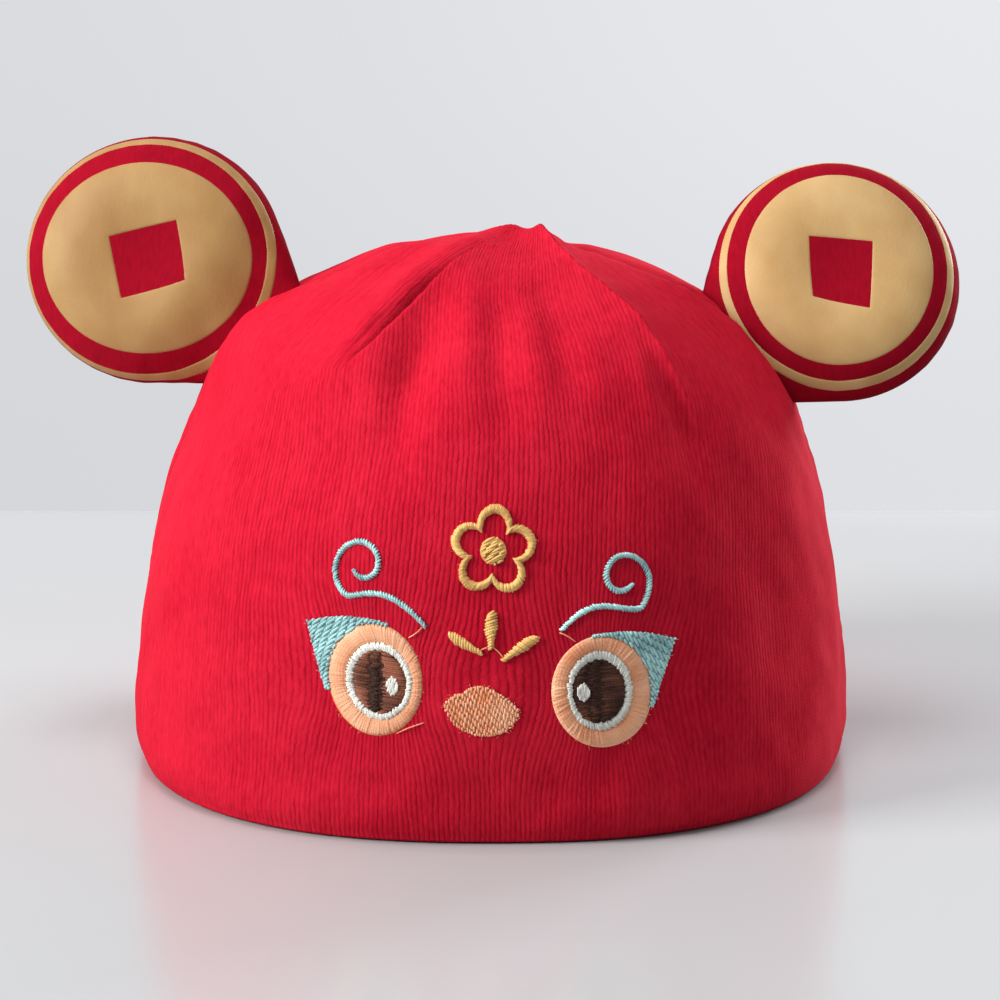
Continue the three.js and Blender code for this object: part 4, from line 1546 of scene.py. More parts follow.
@dataclass
class Stitcher:
    """Lays stitches on the face with one seeded source of chance, and sews them on.

    Brick is how far each row of a filled outline is shifted from the one before, as a share of a stitch.
    """

    chart: FaceChart
    seed: int
    brick: float = 0.37
    cut_stray: float = 0.08
    shortest: float = 0.3
    pad_floor: float = -0.12
    drawn_in: float = 0.02
    fibre_root: float = 0.12
    fibre_lean: float = 0.7
    fibre_bend: float = 0.25
    fibre_size: Pair = (0.3, 1.0)
    fibre_base: float = 0.1
    fibre_lift: Pair = (0.1, 0.6)
    fibre_arch: float = 2.2
    fibre_width: float = 0.10
    fibre_steps: int = 5
    loose_steps: int = 12
    loose_bow: float = 0.18
    loose_base: float = -0.05
    loose_lift: float = 0.41
    loose_width: float = 0.19
    loose_tone: float = 0.7

    @cached_property
    def draw(self) -> np.random.Generator:
        """The source of chance."""
        return np.random.default_rng(self.seed)

    @cached_property
    def materials(self) -> dict[Tone, Material]:
        """The material of each tone of thread."""
        return {tone: tone.value.material() for tone in Tone}

    def sew(self, node: str, tone: Tone, *parts: Surface) -> None:
        """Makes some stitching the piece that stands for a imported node."""
        Surface.joined(list(parts)).piece(f"{node}_thread", "strand", self.materials[tone], tone.slot, node)

    def stitches(self, starts: Array, ends: Array, thread: Thread) -> Surface:
        """Straight stitches that arch over the cloth and dip into it at both ends.

        Args:
            starts: Where each stitch starts, across and up.
            ends: Where it ends.
            thread: How the thread lies.

        Returns:
            The stitches.
        """
        count = len(starts)
        starts = starts + self.draw.normal(0, thread.stray, starts.shape)
        ends = ends + self.draw.normal(0, thread.stray, ends.shape)
        t = np.linspace(0, 1, thread.segments + 1)
        flat = starts[:, None] + (ends - starts)[:, None] * t[:, None]
        crown = np.sin(np.pi * t) ** thread.blunt
        own = self.draw.uniform(*thread.tones, count)
        higher = self.draw.normal(0, thread.uneven_height, count)[:, None] + thread.raised
        settled = np.minimum(crown * thread.settle_rate, 1)
        lift = thread.dip + (thread.base - thread.dip + thread.arch) * crown + higher * settled
        lift = lift + thread.raised * (1 - settled) * thread.settled
        paths = np.concatenate([flat, lift[..., None]], -1)
        girth = thread.slim + (1 - thread.slim) * crown
        thickness = self.draw.normal(1, thread.uneven_girth, count)[:, None] * girth
        widths = thread.width * thickness
        return tubes(self.chart.place, paths, widths, thread.height * thickness, own, thread.sides)

    def hatch(self, outline: Array, turn: float, pitch: float, length: float, thread: Thread) -> Surface:
        """Rows of stitches that fill an outline, broken like bricks.

        Args:
            outline: The closed outline, across and up.
            turn: The angle of the rows, in degrees.
            pitch: The distance from row to row.
            length: The length of a stitch.
            thread: How the thread lies.

        Returns:
            The stitches.
        """
        angle = math.radians(turn)
        spin = np.array([[math.cos(angle), math.sin(angle)], [-math.sin(angle), math.cos(angle)]])
        level = outline @ spin.T
        following = np.roll(level, -1, axis=0)
        starts = []
        ends = []
        rows = np.arange(level[:, 1].min() + pitch / 2, level[:, 1].max(), pitch)
        for number, row in enumerate(rows):
            crossing = (level[:, 1] - row) * (following[:, 1] - row) < 0
            share = (row - level[crossing, 1]) / (following[crossing, 1] - level[crossing, 1])
            cuts = np.sort(level[crossing, 0] + share * (following[crossing, 0] - level[crossing, 0]))
            for left, right in zip(cuts[::2], cuts[1::2]):
                offset = (number * self.brick % 1) * length
                first = math.floor((left - offset) / length) * length + offset
                marks = np.arange(first, right + length, length)
                marks = marks + self.draw.normal(0, self.cut_stray, len(marks))
                marks = marks[(marks > left + self.shortest) & (marks < right - self.shortest)]
                marks = np.concatenate([[left], marks, [right]])
                for a, b in zip(marks[:-1], marks[1:]):
                    starts.append((a, row))
                    ends.append((b, row))
        return self.stitches(np.array(starts) @ spin, np.array(ends) @ spin, thread)

    def pad(self, inner: Array, outer: Array, top: float, closed: bool = True, rows: int = 3,
            tone: float = -0.2, centred: bool = False) -> Surface:
        """The under-layer of stitching between two edges.

        Args:
            inner: One edge, across and up.
            outer: The other edge.
            top: How high it lies.
            closed: Whether the edges are loops.
            rows: How many steps there are between the edges.
            tone: Its tone on the scale of the stitches; a tone below theirs paints shade in the gaps between
                them.
            centred: Whether the outer edge is drawn together in the middle.

        Returns:
            The layer.
        """
        def marked(across: Array, up: Array) -> Array:
            """The length, girth and tone of the thread at each place."""
            return np.stack([across, np.zeros_like(up), np.full_like(up, tone)], -1)

        return plate(self.chart.place, marked, inner, outer, rows, top, self.pad_floor, closed, centred)

    def filled(self, outline: Array, top: float, tone: float = -0.2) -> Surface:
        """The under-layer of a whole outline, drawn together under its middle."""
        middle = outline.mean(axis=0)
        small = middle + (outline - middle) * self.drawn_in
        return self.pad(outline, small, top, rows=8, tone=tone, centred=True)

    def fuzz(self, edge: Array, middle: Array, count: int, reach: float) -> Surface:
        """Loose fibres that stand out round an edge.

        Args:
            edge: Points on the edge, across and up.
            middle: The point that the fibres lean away from.
            count: How many fibres there are.
            reach: How long they are at most.

        Returns:
            The fibres.
        """
        roots = edge[self.draw.integers(0, len(edge), count)]
        roots = roots + self.draw.normal(0, self.fibre_root, (count, 2))
        away = roots - middle
        away = away / (np.linalg.norm(away, axis=1, keepdims=True) + 1e-6)
        lean = self.draw.normal(0, self.fibre_lean, count)
        turned = np.stack([away[:, 0] * np.cos(lean) - away[:, 1] * np.sin(lean),
                           away[:, 0] * np.sin(lean) + away[:, 1] * np.cos(lean)], -1)
        t = np.linspace(0, 1, self.fibre_steps)
        size = self.draw.uniform(*self.fibre_size, count) * reach
        bend = self.draw.normal(0, self.fibre_bend, count) * size
        flat = (roots[:, None] + turned[:, None] * (size[:, None] * t)[..., None]
                + np.stack([-turned[:, 1], turned[:, 0]], -1)[:, None] * (bend[:, None] * t ** 2)[..., None])
        higher = self.draw.uniform(*self.fibre_lift, count)
        lift = self.fibre_base + higher[:, None] * np.sin(t * self.fibre_arch)
        paths = np.concatenate([flat, lift[..., None]], -1)
        slim = np.broadcast_to(self.fibre_width * (1 - 0.5 * t), (count, len(t)))
        return tubes(self.chart.place, paths, slim, slim, self.draw.uniform(0.6, 1, count), 3)

    def run(self, start: Pair, end: Pair) -> Surface:
        """One loose jump thread from a place to another.

        Args:
            start: Where it leaves the cloth, across and up.
            end: Where it goes back in.

        Returns:
            The thread.
        """
        t = np.linspace(0, 1, self.loose_steps)
        ends = np.array([start, end])
        flat = ends[0] + (ends[1] - ends[0]) * t[:, None]
        aside = np.array([ends[0, 1] - ends[1, 1], ends[1, 0] - ends[0, 0]])
        aside = aside / np.linalg.norm(aside)
        flat = flat + aside * (self.loose_bow * np.sin(t * math.pi))[:, None]
        lift = self.loose_base + self.loose_lift * np.sin(np.pi * t) ** 0.4
        paths = np.concatenate([flat, lift[:, None]], -1)[None]
        slim = np.full((1, len(t)), self.loose_width)
        return tubes(self.chart.place, paths, slim, slim, np.array([self.loose_tone]), 6)


@dataclass(frozen=True)
class Eye:
    """One embroidered eye: a peach rim, a pale ring, a brown iris and a glint.

    Each is an oval of its own, whose middle is given as how far it lies from the face's middle and how far
    up. The iris is dark in a band beside its middle, and its rows tilt a little.
    """

    side: Side
    rim_at: Pair
    rim: Pair
    white_at: Pair
    white: Pair
    iris_at: Pair
    glint_at: Pair
    glint: Pair
    iris_tones: Pair
    band_tones: Pair
    white_tones: Pair
    iris: Pair = (4.95, 5.65)
    overlap: float = 0.25
    rim_stitches: int = 250
    white_stitches: int = 170
    row_pitch: float = 0.345
    row_first: float = 0.18
    row_tilt: float = 0.06
    band_width: float = 1.9
    band_at: float = -0.85
    band_stray: float = 0.30
    band_lap: float = 0.1
    slant: float = 0.06
    pad_top: float = 0.24
    iris_pad_top: float = 0.26
    glint_pad_top: float = 0.56

    def _mirrored(self, place: Pair) -> Pair:
        """A place on this eye's side of the face."""
        return (self.side.value * place[0], place[1])

    @property
    def middle(self) -> Pair:
        """The middle of the rim."""
        return self._mirrored(self.rim_at)

    def _ring(self, place: Pair, size: Pair, wider: float, count: int, turn: float = 0.0) -> Array:
        """Points round one of the eye's ovals, or a little outside it."""
        return oval(self._mirrored(place), (size[0] + wider, size[1] + wider), count, turn)

    def _rim(self, needle: Stitcher) -> list[Surface]:
        """Radial satin from the pale ring out to the rim, over an under-layer."""
        far = self._ring(self.rim_at, self.rim, 0.0, self.rim_stitches, self.slant)
        near = self._ring(self.white_at, self.white, -self.overlap, self.rim_stitches)
        thread = Thread(width=0.54, height=0.15, arch=0.16, base=0.16, stray=0.05, tones=(0.38, 0.66))
        fuzz = needle.fuzz(oval(self.middle, self.rim, 200), np.array(self.middle), 22, 0.5)
        return [needle.pad(near, far, self.pad_top, tone=0.45), needle.stitches(near, far, thread), fuzz]

    def _white(self, needle: Stitcher) -> list[Surface]:
        """Radial satin of the pale ring, whose ends stick out into the rim and the iris."""
        far = self._ring(self.white_at, self.white, self.overlap, self.white_stitches, self.slant)
        near = self._ring(self.iris_at, self.iris, -self.overlap, self.white_stitches)
        thread = Thread(width=0.42, height=0.20, arch=0.14, base=0.25, stray=0.11, tones=self.white_tones)
        return [needle.pad(near, far, self.pad_top, tone=0.3), needle.stitches(near, far, thread)]

    def _iris(self, needle: Stitcher) -> list[Surface]:
        """Level rows, each pale at its sides and dark in a band beside the middle."""
        wide, high = self.iris
        rows = np.arange(-high + self.row_first, high, self.row_pitch)
        reach = wide * np.sqrt(np.maximum(1 - (rows / high) ** 2, 0.02)) + 0.15
        tilt = self.row_tilt * self.side.value
        pupil = self._mirrored(self.iris_at)
        shift = needle.draw.normal(self.band_at, self.band_stray, len(rows))
        parts = [needle.filled(oval(pupil, self.iris, 60), self.iris_pad_top, tone=self.band_tones[0])]
        cuts = (-reach, shift - self.band_width / 2, shift + self.band_width / 2, reach)
        for near, far, tones in zip(cuts, cuts[1:], (self.iris_tones, self.band_tones, self.iris_tones)):
            left = np.clip(near - self.band_lap, -reach, reach)
            right = np.clip(far + self.band_lap, -reach, reach)
            kept = right - left > needle.shortest
            starts = np.array(pupil) + np.stack([left, rows + left * tilt], -1)[kept]
            ends = np.array(pupil) + np.stack([right, rows + right * tilt], -1)[kept]
            thread = Thread(width=0.42, height=0.26, arch=0.14, base=0.24, tones=tones, segments=7)
            parts.append(needle.stitches(starts, ends, thread))
        return parts

    def _glint(self, needle: Stitcher) -> list[Surface]:
        """Upright rows over the iris."""
        outline = oval(self._mirrored(self.glint_at), self.glint, 48)
        thread = Thread(width=0.36, height=0.14, arch=0.08, base=0.10, stray=0.03, raised=0.44)
        rows = needle.hatch(outline, 86.0, 0.24, 6.0, thread)
        return [needle.filled(outline, self.glint_pad_top, tone=0.8), rows]

    def build(self, needle: Stitcher) -> None:
        """Makes and dresses the eye."""
        node = f"eye_{self.side.word}"
        needle.sew(f"{node}_rim", Tone.PEACH, *self._rim(needle))
        needle.sew(f"{node}_white", Tone.PALE, *self._white(needle))
        needle.sew(f"{node}_iris", Tone.BROWN, *self._iris(needle))
        needle.sew(f"{node}_glint", Tone.PALE, *self._glint(needle))


@dataclass(frozen=True)
class Eyelid:
    """The teal wing outside one eye."""

    side: Side
    eye: Eye
    corner: Pair
    tones: Pair
    tip: Pair = (29.5, -3.2)
    crest: Pair = (26.4, 11.7)
    end: Pair = (18.2, 10.3)
    rows_turn: float = 44.0
    mirrored_turn: float = 164.0
    tuck: float = 0.2

    def edges(self) -> tuple[Array, Array]:
        """The wing's inner edge along the eye's rim and its outer edge, from the tip to the far end."""
        t = np.linspace(0, 1, 24)
        tip, corner, crest, end = (np.array(point) for point in (self.tip, self.corner, self.crest, self.end))
        side = tip + (corner - tip) * t[:, None]
        over = ((1 - t) ** 2)[:, None] * corner + (2 * t * (1 - t))[:, None] * crest + (t ** 2)[:, None] * end
        outer = np.concatenate([side, over[1:]])
        middle, size = self.eye.rim_at, self.eye.rim
        angle = np.linspace(oval_angle(tip, middle, size), oval_angle(end, middle, size), len(outer))
        inner = np.array(middle) + (np.array(size) - self.tuck) * way(angle)
        mirror = np.array([self.side.value, 1.0])
        return inner * mirror, outer * mirror

    def build(self, needle: Stitcher) -> None:
        """Makes and dresses the wing."""
        inner, outer = self.edges()
        turn = self.rows_turn if self.side is Side.LEFT else self.mirrored_turn - self.rows_turn
        outline = np.concatenate([outer, inner[::-1]])
        thread = Thread(width=0.54, height=0.22, arch=0.10, base=0.16, dip=-0.04, stray=0.06,
                        tones=self.tones)
        rows = needle.hatch(outline, turn, 0.54, 2.6, thread)
        pad = needle.pad(inner, outer, 0.14, closed=False, rows=8, tone=-0.1)
        fuzz = needle.fuzz(outer, np.array(self.eye.middle), 10, 0.4)
        needle.sew(f"eyelid_{self.side.word}", Tone.TEAL, pad, rows, fuzz)


def evenly(points: Array, pitch: float) -> Array:
    """The same line with points at even steps of about pitch."""
    steps = np.concatenate([[0], np.cumsum(np.linalg.norm(np.diff(points, axis=0), axis=1))])
    even = np.linspace(0, steps[-1], max(int(round(steps[-1] / pitch)), 2) + 1)
    return np.stack([np.interp(even, steps, points[:, k]) for k in range(2)], -1)


def band(line: Array, width: Amount, closed: bool = False) -> tuple[Array, Array]:
    """The two edges of a band along a line."""
    padded_line = np.concatenate([line[-1:], line, line[:1]]) if closed else line
    run = np.gradient(padded_line, axis=0)
    run = run[1:-1] if closed else run
    run /= np.linalg.norm(run, axis=1, keepdims=True) + 1e-9
    aside = np.stack([-run[:, 1], run[:, 0]], -1) * (np.asarray(width) / 2 * np.ones(len(line)))[:, None]
    return line + aside, line - aside


@dataclass(frozen=True)
class Brow:
    """One brow: a sweep that rises from beside the nose bridge and closes in a curl."""

    side: Side
    tip: Pair
    curl: Pair
    start: float
    end: float
    tighten: float
    from_angle: float
    turn: float
    rise_pull: Pair
    level_pull: Pair
    width: float = 1.05
    pitch: float = 0.52
    slant: float = 0.95
    easing: int = 24
    start_share: float = 0.7
    start_length: float = 6.0
    end_loss: float = 0.4
    end_length: float = 2.0
    # pad_share widens the dark under-layer past the stitches, where it shows as a painted shadow edge.
    pad_share: float = 1.25

    def line(self) -> Array:
        """The brow's middle line."""
        t = np.linspace(0, 1, 80)[:, None]
        curl = np.array(self.curl)
        share = np.linspace(0, 1, 160)
        angle = math.radians(self.from_angle) + math.radians(self.turn) * share
        radius = self.start + (self.end - self.start) * share ** self.tighten
        spiral = curl + radius[:, None] * way(angle)
        tip = np.array(self.tip)
        corners = (tip, tip + self.rise_pull, spiral[0] + self.level_pull, spiral[0])
        weights = ((1 - t) ** 3, 3 * t * (1 - t) ** 2, 3 * t ** 2 * (1 - t), t ** 3)
        sweep = sum(weight * corner for weight, corner in zip(weights, corners))
        line = evenly(np.concatenate([sweep, spiral[1:]]) * np.array([self.side.value, 1.0]), self.pitch / 2)
        for _ in range(self.easing):
            line[1:-1] = (line[:-2] + 2 * line[1:-1] + line[2:]) / 4
        return evenly(line, self.pitch)

    def build(self, needle: Stitcher) -> None:
        """Makes and dresses the brow."""
        line = self.line()
        index = np.arange(len(line))
        reach = index * self.pitch
        widening = self.start_share + (1 - self.start_share) * smooth(0, self.start_length, reach)
        width = self.width * widening * (1 - self.end_loss * smooth(-self.end_length, 0.0, reach - reach[-1]))
        first, second = band(line, width)
        lead = self.slant / self.pitch
        ahead = np.stack([np.interp(index + lead, index, second[:, k]) for k in range(2)], -1)
        thread = Thread(width=0.48, height=0.34, arch=0.30, base=0.12, stray=0.04, tones=(0.2, 1.1))
        rows = needle.stitches(first, ahead, thread)
        # The dark under-layer is wider than the stitches, so it shows as a painted shadow along both edges of
        # the brow.
        pad = needle.pad(*band(line, width * self.pad_share), 0.08, closed=False, tone=-1.0)
        needle.sew(f"brow_{self.side.word}", Tone.TEAL, pad, rows)


@dataclass(frozen=True)
class Leaf:
    """One satin-stitched leaf of the sprig between the eyes, narrow at its start and round at its far end."""

    name: str
    start: Pair
    end: Pair
    width: float
    pitch: float = 0.52
    slant: float = 1.0
    start_share: float = 0.40
    round_from: float = 0.80
    round_to: float = 1.04
    full_at: float = 0.6
    pad_share: float = 0.8

    def build(self, needle: Stitcher) -> None:
        """Makes and dresses the leaf."""
        start = np.array(self.start)
        end = np.array(self.end)
        line = evenly(np.stack([start, end]), self.pitch)
        t = np.linspace(0, 1, len(line))
        tapered = self.start_share + (1 - self.start_share) * smooth(0.0, self.full_at, t)
        closing = np.maximum(t - self.round_from, 0) / (self.round_to - self.round_from)
        width = self.width * tapered * np.sqrt(1 - closing ** 2)
        first, second = band(line, width)
        lead = (end - start) / np.linalg.norm(end - start) * self.slant / 2
        thread = Thread(width=0.54, height=0.36, arch=0.38, base=0.14, stray=0.06)
        rows = needle.stitches(first - lead, second + lead, thread)
        pad = needle.pad(*band(line, width * self.pad_share), 0.26, closed=False, tone=-0.1)
        needle.sew(f"leaf_{self.name}", Tone.GOLD, pad, rows)


def rounded(points: Array, steps: int) -> Array:
    """A smooth closed line through points.

    Args:
        points: The points, across and up.
        steps: How many steps there are from point to point.

    Returns:
        The line's points.
    """
    before, after, beyond = (np.roll(points, shift, axis=0) for shift in (1, -1, -2))
    t = (np.arange(steps) / steps)[:, None, None]
    line = (points + t * (after - before) / 2 + t ** 2 * (before - 2.5 * points + 2 * after - beyond / 2)
            + t ** 3 * (1.5 * points - before / 2 - 1.5 * after + beyond / 2))
    return line.transpose(1, 0, 2).reshape(-1, 2)


@dataclass(frozen=True)
class Nose:
    """The peach nose, filled with short upright rows; its outline runs from the left tip over the top."""

    outline: tuple[Pair, ...] = (
        (-7.9, -3.3), (-6.2, -1.2), (-4.7, -0.8), (-3.2, 0.4), (-0.9, 0.7), (1.1, -0.1), (3.4, -1.5),
        (4.9, -2.9), (5.2, -4.6), (3.9, -6.6), (2.3, -7.9), (-1.2, -8.6), (-4.6, -7.8), (-6.7, -6.0),
    )
    rows_turn: float = 98.0

    def build(self, needle: Stitcher) -> None:
        """Makes and dresses the nose."""
        outline = rounded(np.array(self.outline), 7)
        thread = Thread(width=0.42, height=0.24, arch=0.12, base=0.14, dip=-0.22, stray=0.06,
                        tones=(0.35, 1.25))
        rows = needle.hatch(outline, self.rows_turn, 0.42, 1.5, thread)
        pad = needle.filled(outline, 0.12, tone=-0.1)
        fuzz = needle.fuzz(outline, outline.mean(axis=0), 40, 0.6)
        needle.sew("nose", Tone.PEACH, pad, rows, fuzz)


@dataclass(frozen=True)
class Blossom:
    """A plain five-petal blossom on the forehead, as a satin outline with a round heart."""

    middle: Pair = (0.0, 24.8)
    radius: float = 8.2
    band_width: float = 1.7
    heart: float = 2.4
    petals: int = 5
    waist: float = 0.66
    power: float = 0.8
    pitch: float = 0.40

    def _lobes(self, count: int, narrower: float) -> Array:
        """The blossom's outline, or one inside it."""
        angle = np.arange(count) * TURN / count
        petal = np.abs(np.sin(self.petals / 2 * angle)) ** self.power
        radius = self.radius * (self.waist + (1 - self.waist) * petal) - narrower
        turned = angle + math.pi / 2 - math.pi / self.petals
        return np.array(self.middle) + radius[:, None] * way(turned)

    def build(self, needle: Stitcher) -> None:
        """Makes and dresses the blossom's ring and heart."""
        count = int(TURN * self.radius / self.pitch * 1.1)
        outer = self._lobes(count, 0.0)
        inner = np.roll(self._lobes(count, self.band_width), -1, axis=0)
        thread = Thread(width=0.50, height=0.38, arch=0.36, base=0.16, stray=0.05)
        rows = needle.stitches(outer, inner, thread)
        pad = needle.pad(self._lobes(120, self.band_width - 0.3), self._lobes(120, 0.3), 0.28)
        fuzz = needle.fuzz(outer, np.array(self.middle), 14, 0.4)
        needle.sew("blossom_ring", Tone.GOLD, pad, rows, fuzz)
        disc = oval(self.middle, (self.heart, self.heart), 60)
        rows = needle.hatch(disc, 30.0, 0.42, 6.0, Thread(width=0.48, height=0.36, arch=0.5, base=0.14))
        needle.sew("blossom_heart", Tone.GOLD, needle.filled(disc, 0.35), rows)


@dataclass(frozen=True)
class JumpThreads:
    """Single threads that run loose from one stitched area to the next."""

    runs: tuple[tuple[Pair, Pair], ...] = (
        ((-12.0, 10.4), (-14.5, 8.2)),
        ((-16.4, -9.3), (-11.5, -6.8)),
        ((12.4, 10.7), (15.2, 9.1)),
        ((0.5, 7.8), (2.6, 5.7)),
        ((-1.7, 6.9), (-0.2, 7.6)),
    )

    def build(self, needle: Stitcher) -> None:
        """Makes and dresses the loose threads."""
        loose = Surface.joined([needle.run(start, end) for start, end in self.runs])
        loose.piece("jump_threads", "strand", needle.materials[Tone.PEACH], Tone.PEACH.slot)


@dataclass(frozen=True)
class Lamp:
    """A square soft light, placed by degrees from the front to the right and up from the table."""

    name: str
    azimuth: float
    elevation: float
    power: float
    colour: Triple


@dataclass(frozen=True)
class Studio:
    """The camera at the photograph's angle, the lights, and a pale table that curves up into a backdrop."""

    target: Triple = (1.3, 0.5, 46.5)
    elevation: float = 14.5
    distance: float = 850.0
    focal_pixels: float = 4573.0
    picture_pixels: float = 1000.0
    sensor: float = 36.0
    table_end: float = 145.0
    edge_radius: float = 200.0
    table_half: float = 2600.0
    wall_left: Triple = (0.705, 0.713, 0.745)
    wall_right: Triple = (0.805, 0.815, 0.845)
    wall_low: Triple = (0.55, 0.555, 0.565)
    room: Triple = (0.055, 0.055, 0.055)
    ceiling: Triple = (0.44, 0.45, 0.46)
    behind: Pair = (0.1, 0.9)
    across: Pair = (-0.12, 0.12)
    lower: Pair = (-0.14, -0.25)
    lower_share: float = 0.24
    lamp_distance: float = 1300.0
    lamp_size: float = 500.0
    lamps: tuple[Lamp, ...] = (
        Lamp("key", -70.0, 26.0, 22.5, (1.0, 0.99, 0.97)),
        Lamp("rim", 135.0, 12.0, 16.0, (1.0, 0.99, 1.0)),
        Lamp("top", 0.0, 85.0, 8.8, (1.0, 1.0, 1.0)),
        Lamp("fill", 68.0, 22.0, 1.1, (1.0, 0.97, 0.95)),
    )

    def _aim(self, item: bpy.types.Object, azimuth: float, elevation: float, distance: float) -> None:
        """Stands an object off the hat and turns it to the hat's middle.

        Args:
            item: The camera or light.
            azimuth: Its degrees from the front to the right.
            elevation: Its degrees up.
            distance: How far off it is, in millimetres.
        """
        turn = math.radians(azimuth)
        rise = math.radians(elevation)
        away = Vector((math.sin(turn) * math.cos(rise), -math.cos(turn) * math.cos(rise), math.sin(rise)))
        target = Vector(self.target) * MM
        item.location = target + away * distance * MM
        item.rotation_euler = (target - item.location).to_track_quat("-Z", "Y").to_euler()
        bpy.context.scene.collection.objects.link(item)

    def camera(self) -> None:
        """Makes the camera."""
        data = bpy.data.cameras.new("camera")
        data.sensor_width = self.sensor
        data.lens = self.focal_pixels * self.sensor / self.picture_pixels
        data.clip_start = 0.01
        camera = bpy.data.objects.new("camera", data)
        self._aim(camera, 0.0, self.elevation, self.distance)
        bpy.context.scene.camera = camera

    def light(self, lamp: Lamp) -> None:
        """Makes one soft light aimed at the hat."""
        data = bpy.data.lights.new(lamp.name, "AREA")
        data.shape = "SQUARE"
        data.size = self.lamp_size * MM
        data.energy = lamp.power
        data.color = lamp.colour
        self._aim(bpy.data.objects.new(lamp.name, data), lamp.azimuth, lamp.elevation, self.lamp_distance)

    def world(self) -> None:
        """Makes the room: pale behind the hat, brighter to the right and upwards, dim behind the camera."""
        world = bpy.data.worlds.new("studio")
        bpy.context.scene.world = world
        graph = Graph(world)
        generated = graph.node("ShaderNodeTexCoord", {}, {}).outputs["Generated"]
        parts = graph.node("ShaderNodeSeparateXYZ", {}, {0: generated}).outputs
        x, y, z = (Value(graph, part) for part in parts)
        wall = graph.mix(x.ramp(*self.across), self.wall_left, self.wall_right)
        wall = graph.mix(z.ramp(*self.lower) * self.lower_share, wall, self.wall_low)
        room = graph.mix(z.ramp(0.0, 1.0), self.room, self.ceiling)
        colour = graph.mix(y.ramp(*self.behind), room, wall)
        backdrop = graph.node("ShaderNodeBackground", {}, {"Color": colour, "Strength": 1.0})
        graph.node("ShaderNodeOutputWorld", {}, {"Surface": backdrop.outputs[0]})
        bpy.context.scene.view_settings.view_transform = "Standard"

    def table(self, finish: TableFinish) -> None:
        """Makes the table, whose far edge is rounded off behind the hat."""
        turn = np.linspace(0, math.pi / 2, 24)
        y = np.concatenate([[-self.table_half], self.table_end + self.edge_radius * np.sin(turn)])
        z = np.concatenate([[0.0], -self.edge_radius * (1 - np.cos(turn))])
        y = np.append(y, y[-1])
        z = np.append(z, -3 * self.edge_radius)
        vertices = [(side * self.table_half * MM, a * MM, b * MM) for a, b in zip(y, z) for side in (-1, 1)]
        faces = [(2 * k, 2 * k + 1, 2 * k + 3, 2 * k + 2) for k in range(len(y) - 1)]
        mesh = bpy.data.meshes.new("table")
        mesh.from_pydata(vertices, [], faces)
        mesh.polygons.foreach_set("use_smooth", np.ones(len(faces), dtype=bool))
        mesh.materials.append(finish.material())
        table = bpy.data.objects.new("table", mesh)
        bpy.context.scene.collection.objects.link(table)

    def build(self) -> None:
        """Makes the camera, the lights and the table."""
        self.camera()
        self.world()
        self.table(TableFinish())
        for lamp in self.lamps:
            self.light(lamp)


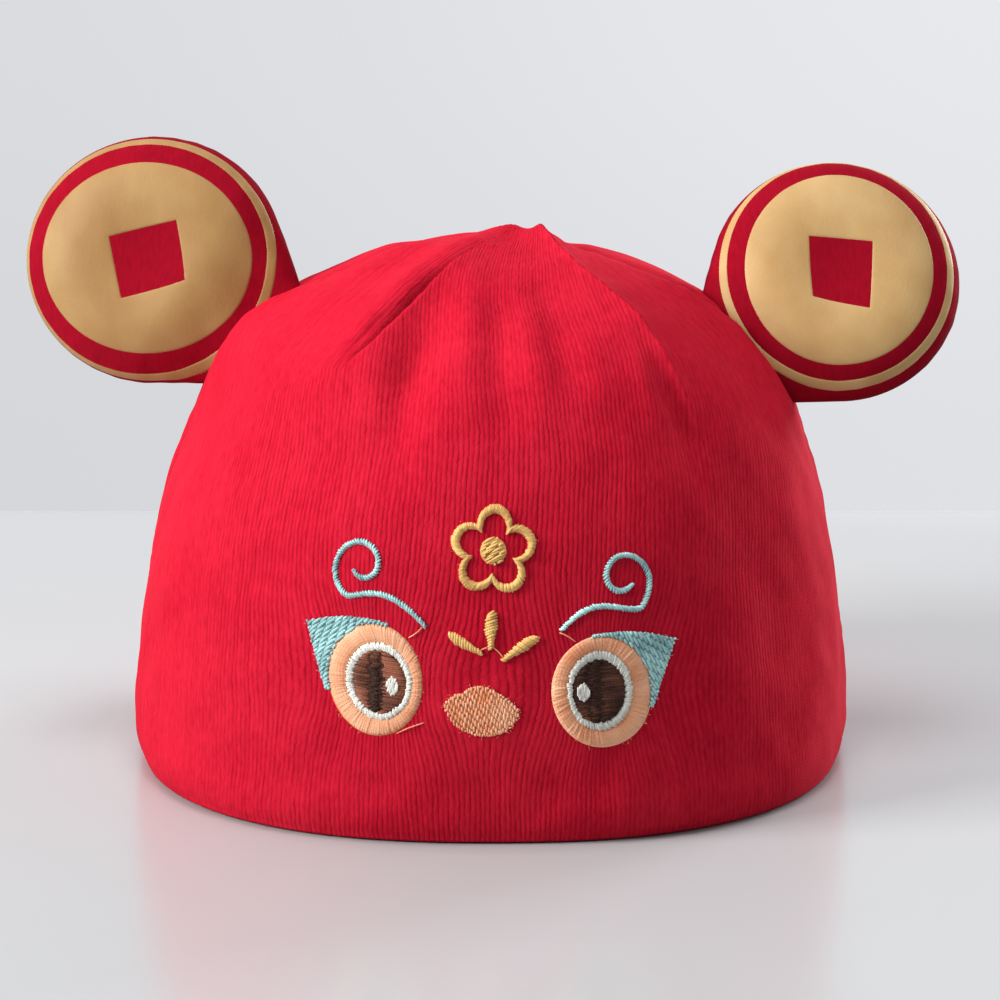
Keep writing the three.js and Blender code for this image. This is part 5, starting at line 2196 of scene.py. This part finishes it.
def build_face(chart: FaceChart) -> None:
    """Makes and dresses all the stitching of the face."""
    needle = Stitcher(chart, seed=21)
    eyes = (Eye(Side.LEFT, rim_at=(20.4, 0.0), rim=(8.6, 10.1), white_at=(19.6, -0.15), white=(5.85, 6.85),
                iris_at=(19.45, -0.25), glint_at=(17.05, -0.7), glint=(1.05, 1.9),
                iris_tones=(0.1, 1.1), band_tones=(-1.6, -0.9), white_tones=(0.3, 1.0)),
            Eye(Side.RIGHT, rim_at=(20.1, 0.1), rim=(9.15, 10.05), white_at=(19.6, 0.35), white=(5.8, 7.1),
                iris_at=(19.4, 0.2), glint_at=(16.45, 0.1), glint=(1.1, 1.8),
                iris_tones=(-1.1, -0.6), band_tones=(-1.5, -1.0), white_tones=(-0.1, 0.6)))
    lids = (((33.7, 8.4), (0.25, 0.9)), ((34.1, 8.9), (0.6, 1.25)))
    brows = (Brow(Side.LEFT, tip=(11.4, 10.4), curl=(24.1, 19.9), start=6.35, end=1.84, tighten=0.79,
                  from_angle=-71.7, turn=391.7, rise_pull=(6.2, 6.1), level_pull=(-4.5, 2.2)),
             Brow(Side.RIGHT, tip=(12.6, 11.0), curl=(24.0, 20.35), start=6.88, end=2.19, tighten=0.51,
                  from_angle=-57.9, turn=383.3, rise_pull=(6.4, 7.3), level_pull=(-5.0, -0.3)))
    for eye, (corner, tones), brow in zip(eyes, lids, brows):
        eye.build(needle)
        Eyelid(eye.side, eye, corner, tones).build(needle)
        brow.build(needle)
    for leaf in (Leaf("left", start=(-1.5, 6.6), end=(-7.1, 9.3), width=1.9),
                 Leaf("middle", start=(0.3, 7.6), end=(0.2, 13.8), width=2.3),
                 Leaf("right", start=(2.5, 5.6), end=(8.2, 9.8), width=2.0)):
        leaf.build(needle)
    Nose().build(needle)
    Blossom().build(needle)
    JumpThreads().build(needle)


def build_ears(crown: CrownShape) -> None:
    """Makes and dresses both ears and their prints."""
    cloth = EAR_CLOTH.material()
    left = EarShape(Side.LEFT, x=-62.2, back=7.3, height=90.5, azimuth=-14.0, elevation=15.0, neck=-31.0,
                    half_wide=24.8, half_high=22.8, seed=3)
    right = EarShape(Side.RIGHT, x=63.7, back=6.8, height=86.5, azimuth=2.0, elevation=31.0, neck=-142.6,
                     half_wide=23.1, half_high=23.2, seed=4)
    prints = (EarPrint(left, disc_middle=(0.1, 0.0), disc_size=(20.3, 17.8),
                       hole=((6.0, 7.0), (-6.5, 3.4), (-3.4, -7.6), (8.4, -3.7)),
                       ring_middle=(-0.15, -0.45), ring_size=(24.6, 22.9),
                       ring_width=1.6, ring_spread=0.9, ring_spread_at=-55.0),
              EarPrint(right, disc_middle=(0.2, 0.5), disc_size=(17.6, 18.8),
                       hole=((6.3, 5.1), (-5.2, 6.2), (-4.8, -5.3), (5.3, -7.6)),
                       ring_middle=(0.0, 0.5), ring_size=(21.9, 22.8),
                       ring_width=1.9, ring_spread=-1.0, ring_spread_at=90.0))
    for shape, coin in zip((left, right), prints):
        Ear(shape, crown).build(cloth)
        coin.build(PRINTS[shape.side].material())


def main() -> None:
    """Builds the hat's sub-assemblies in order and reports each piece."""
    logging.basicConfig(level=logging.INFO, format="%(name)s: %(message)s")
    Studio().build()
    shape = CrownShape()
    chart = FaceChart(shape)
    Crown(shape, chart).build()
    build_ears(shape)
    build_face(chart)


if __name__ == "__main__":
    main()
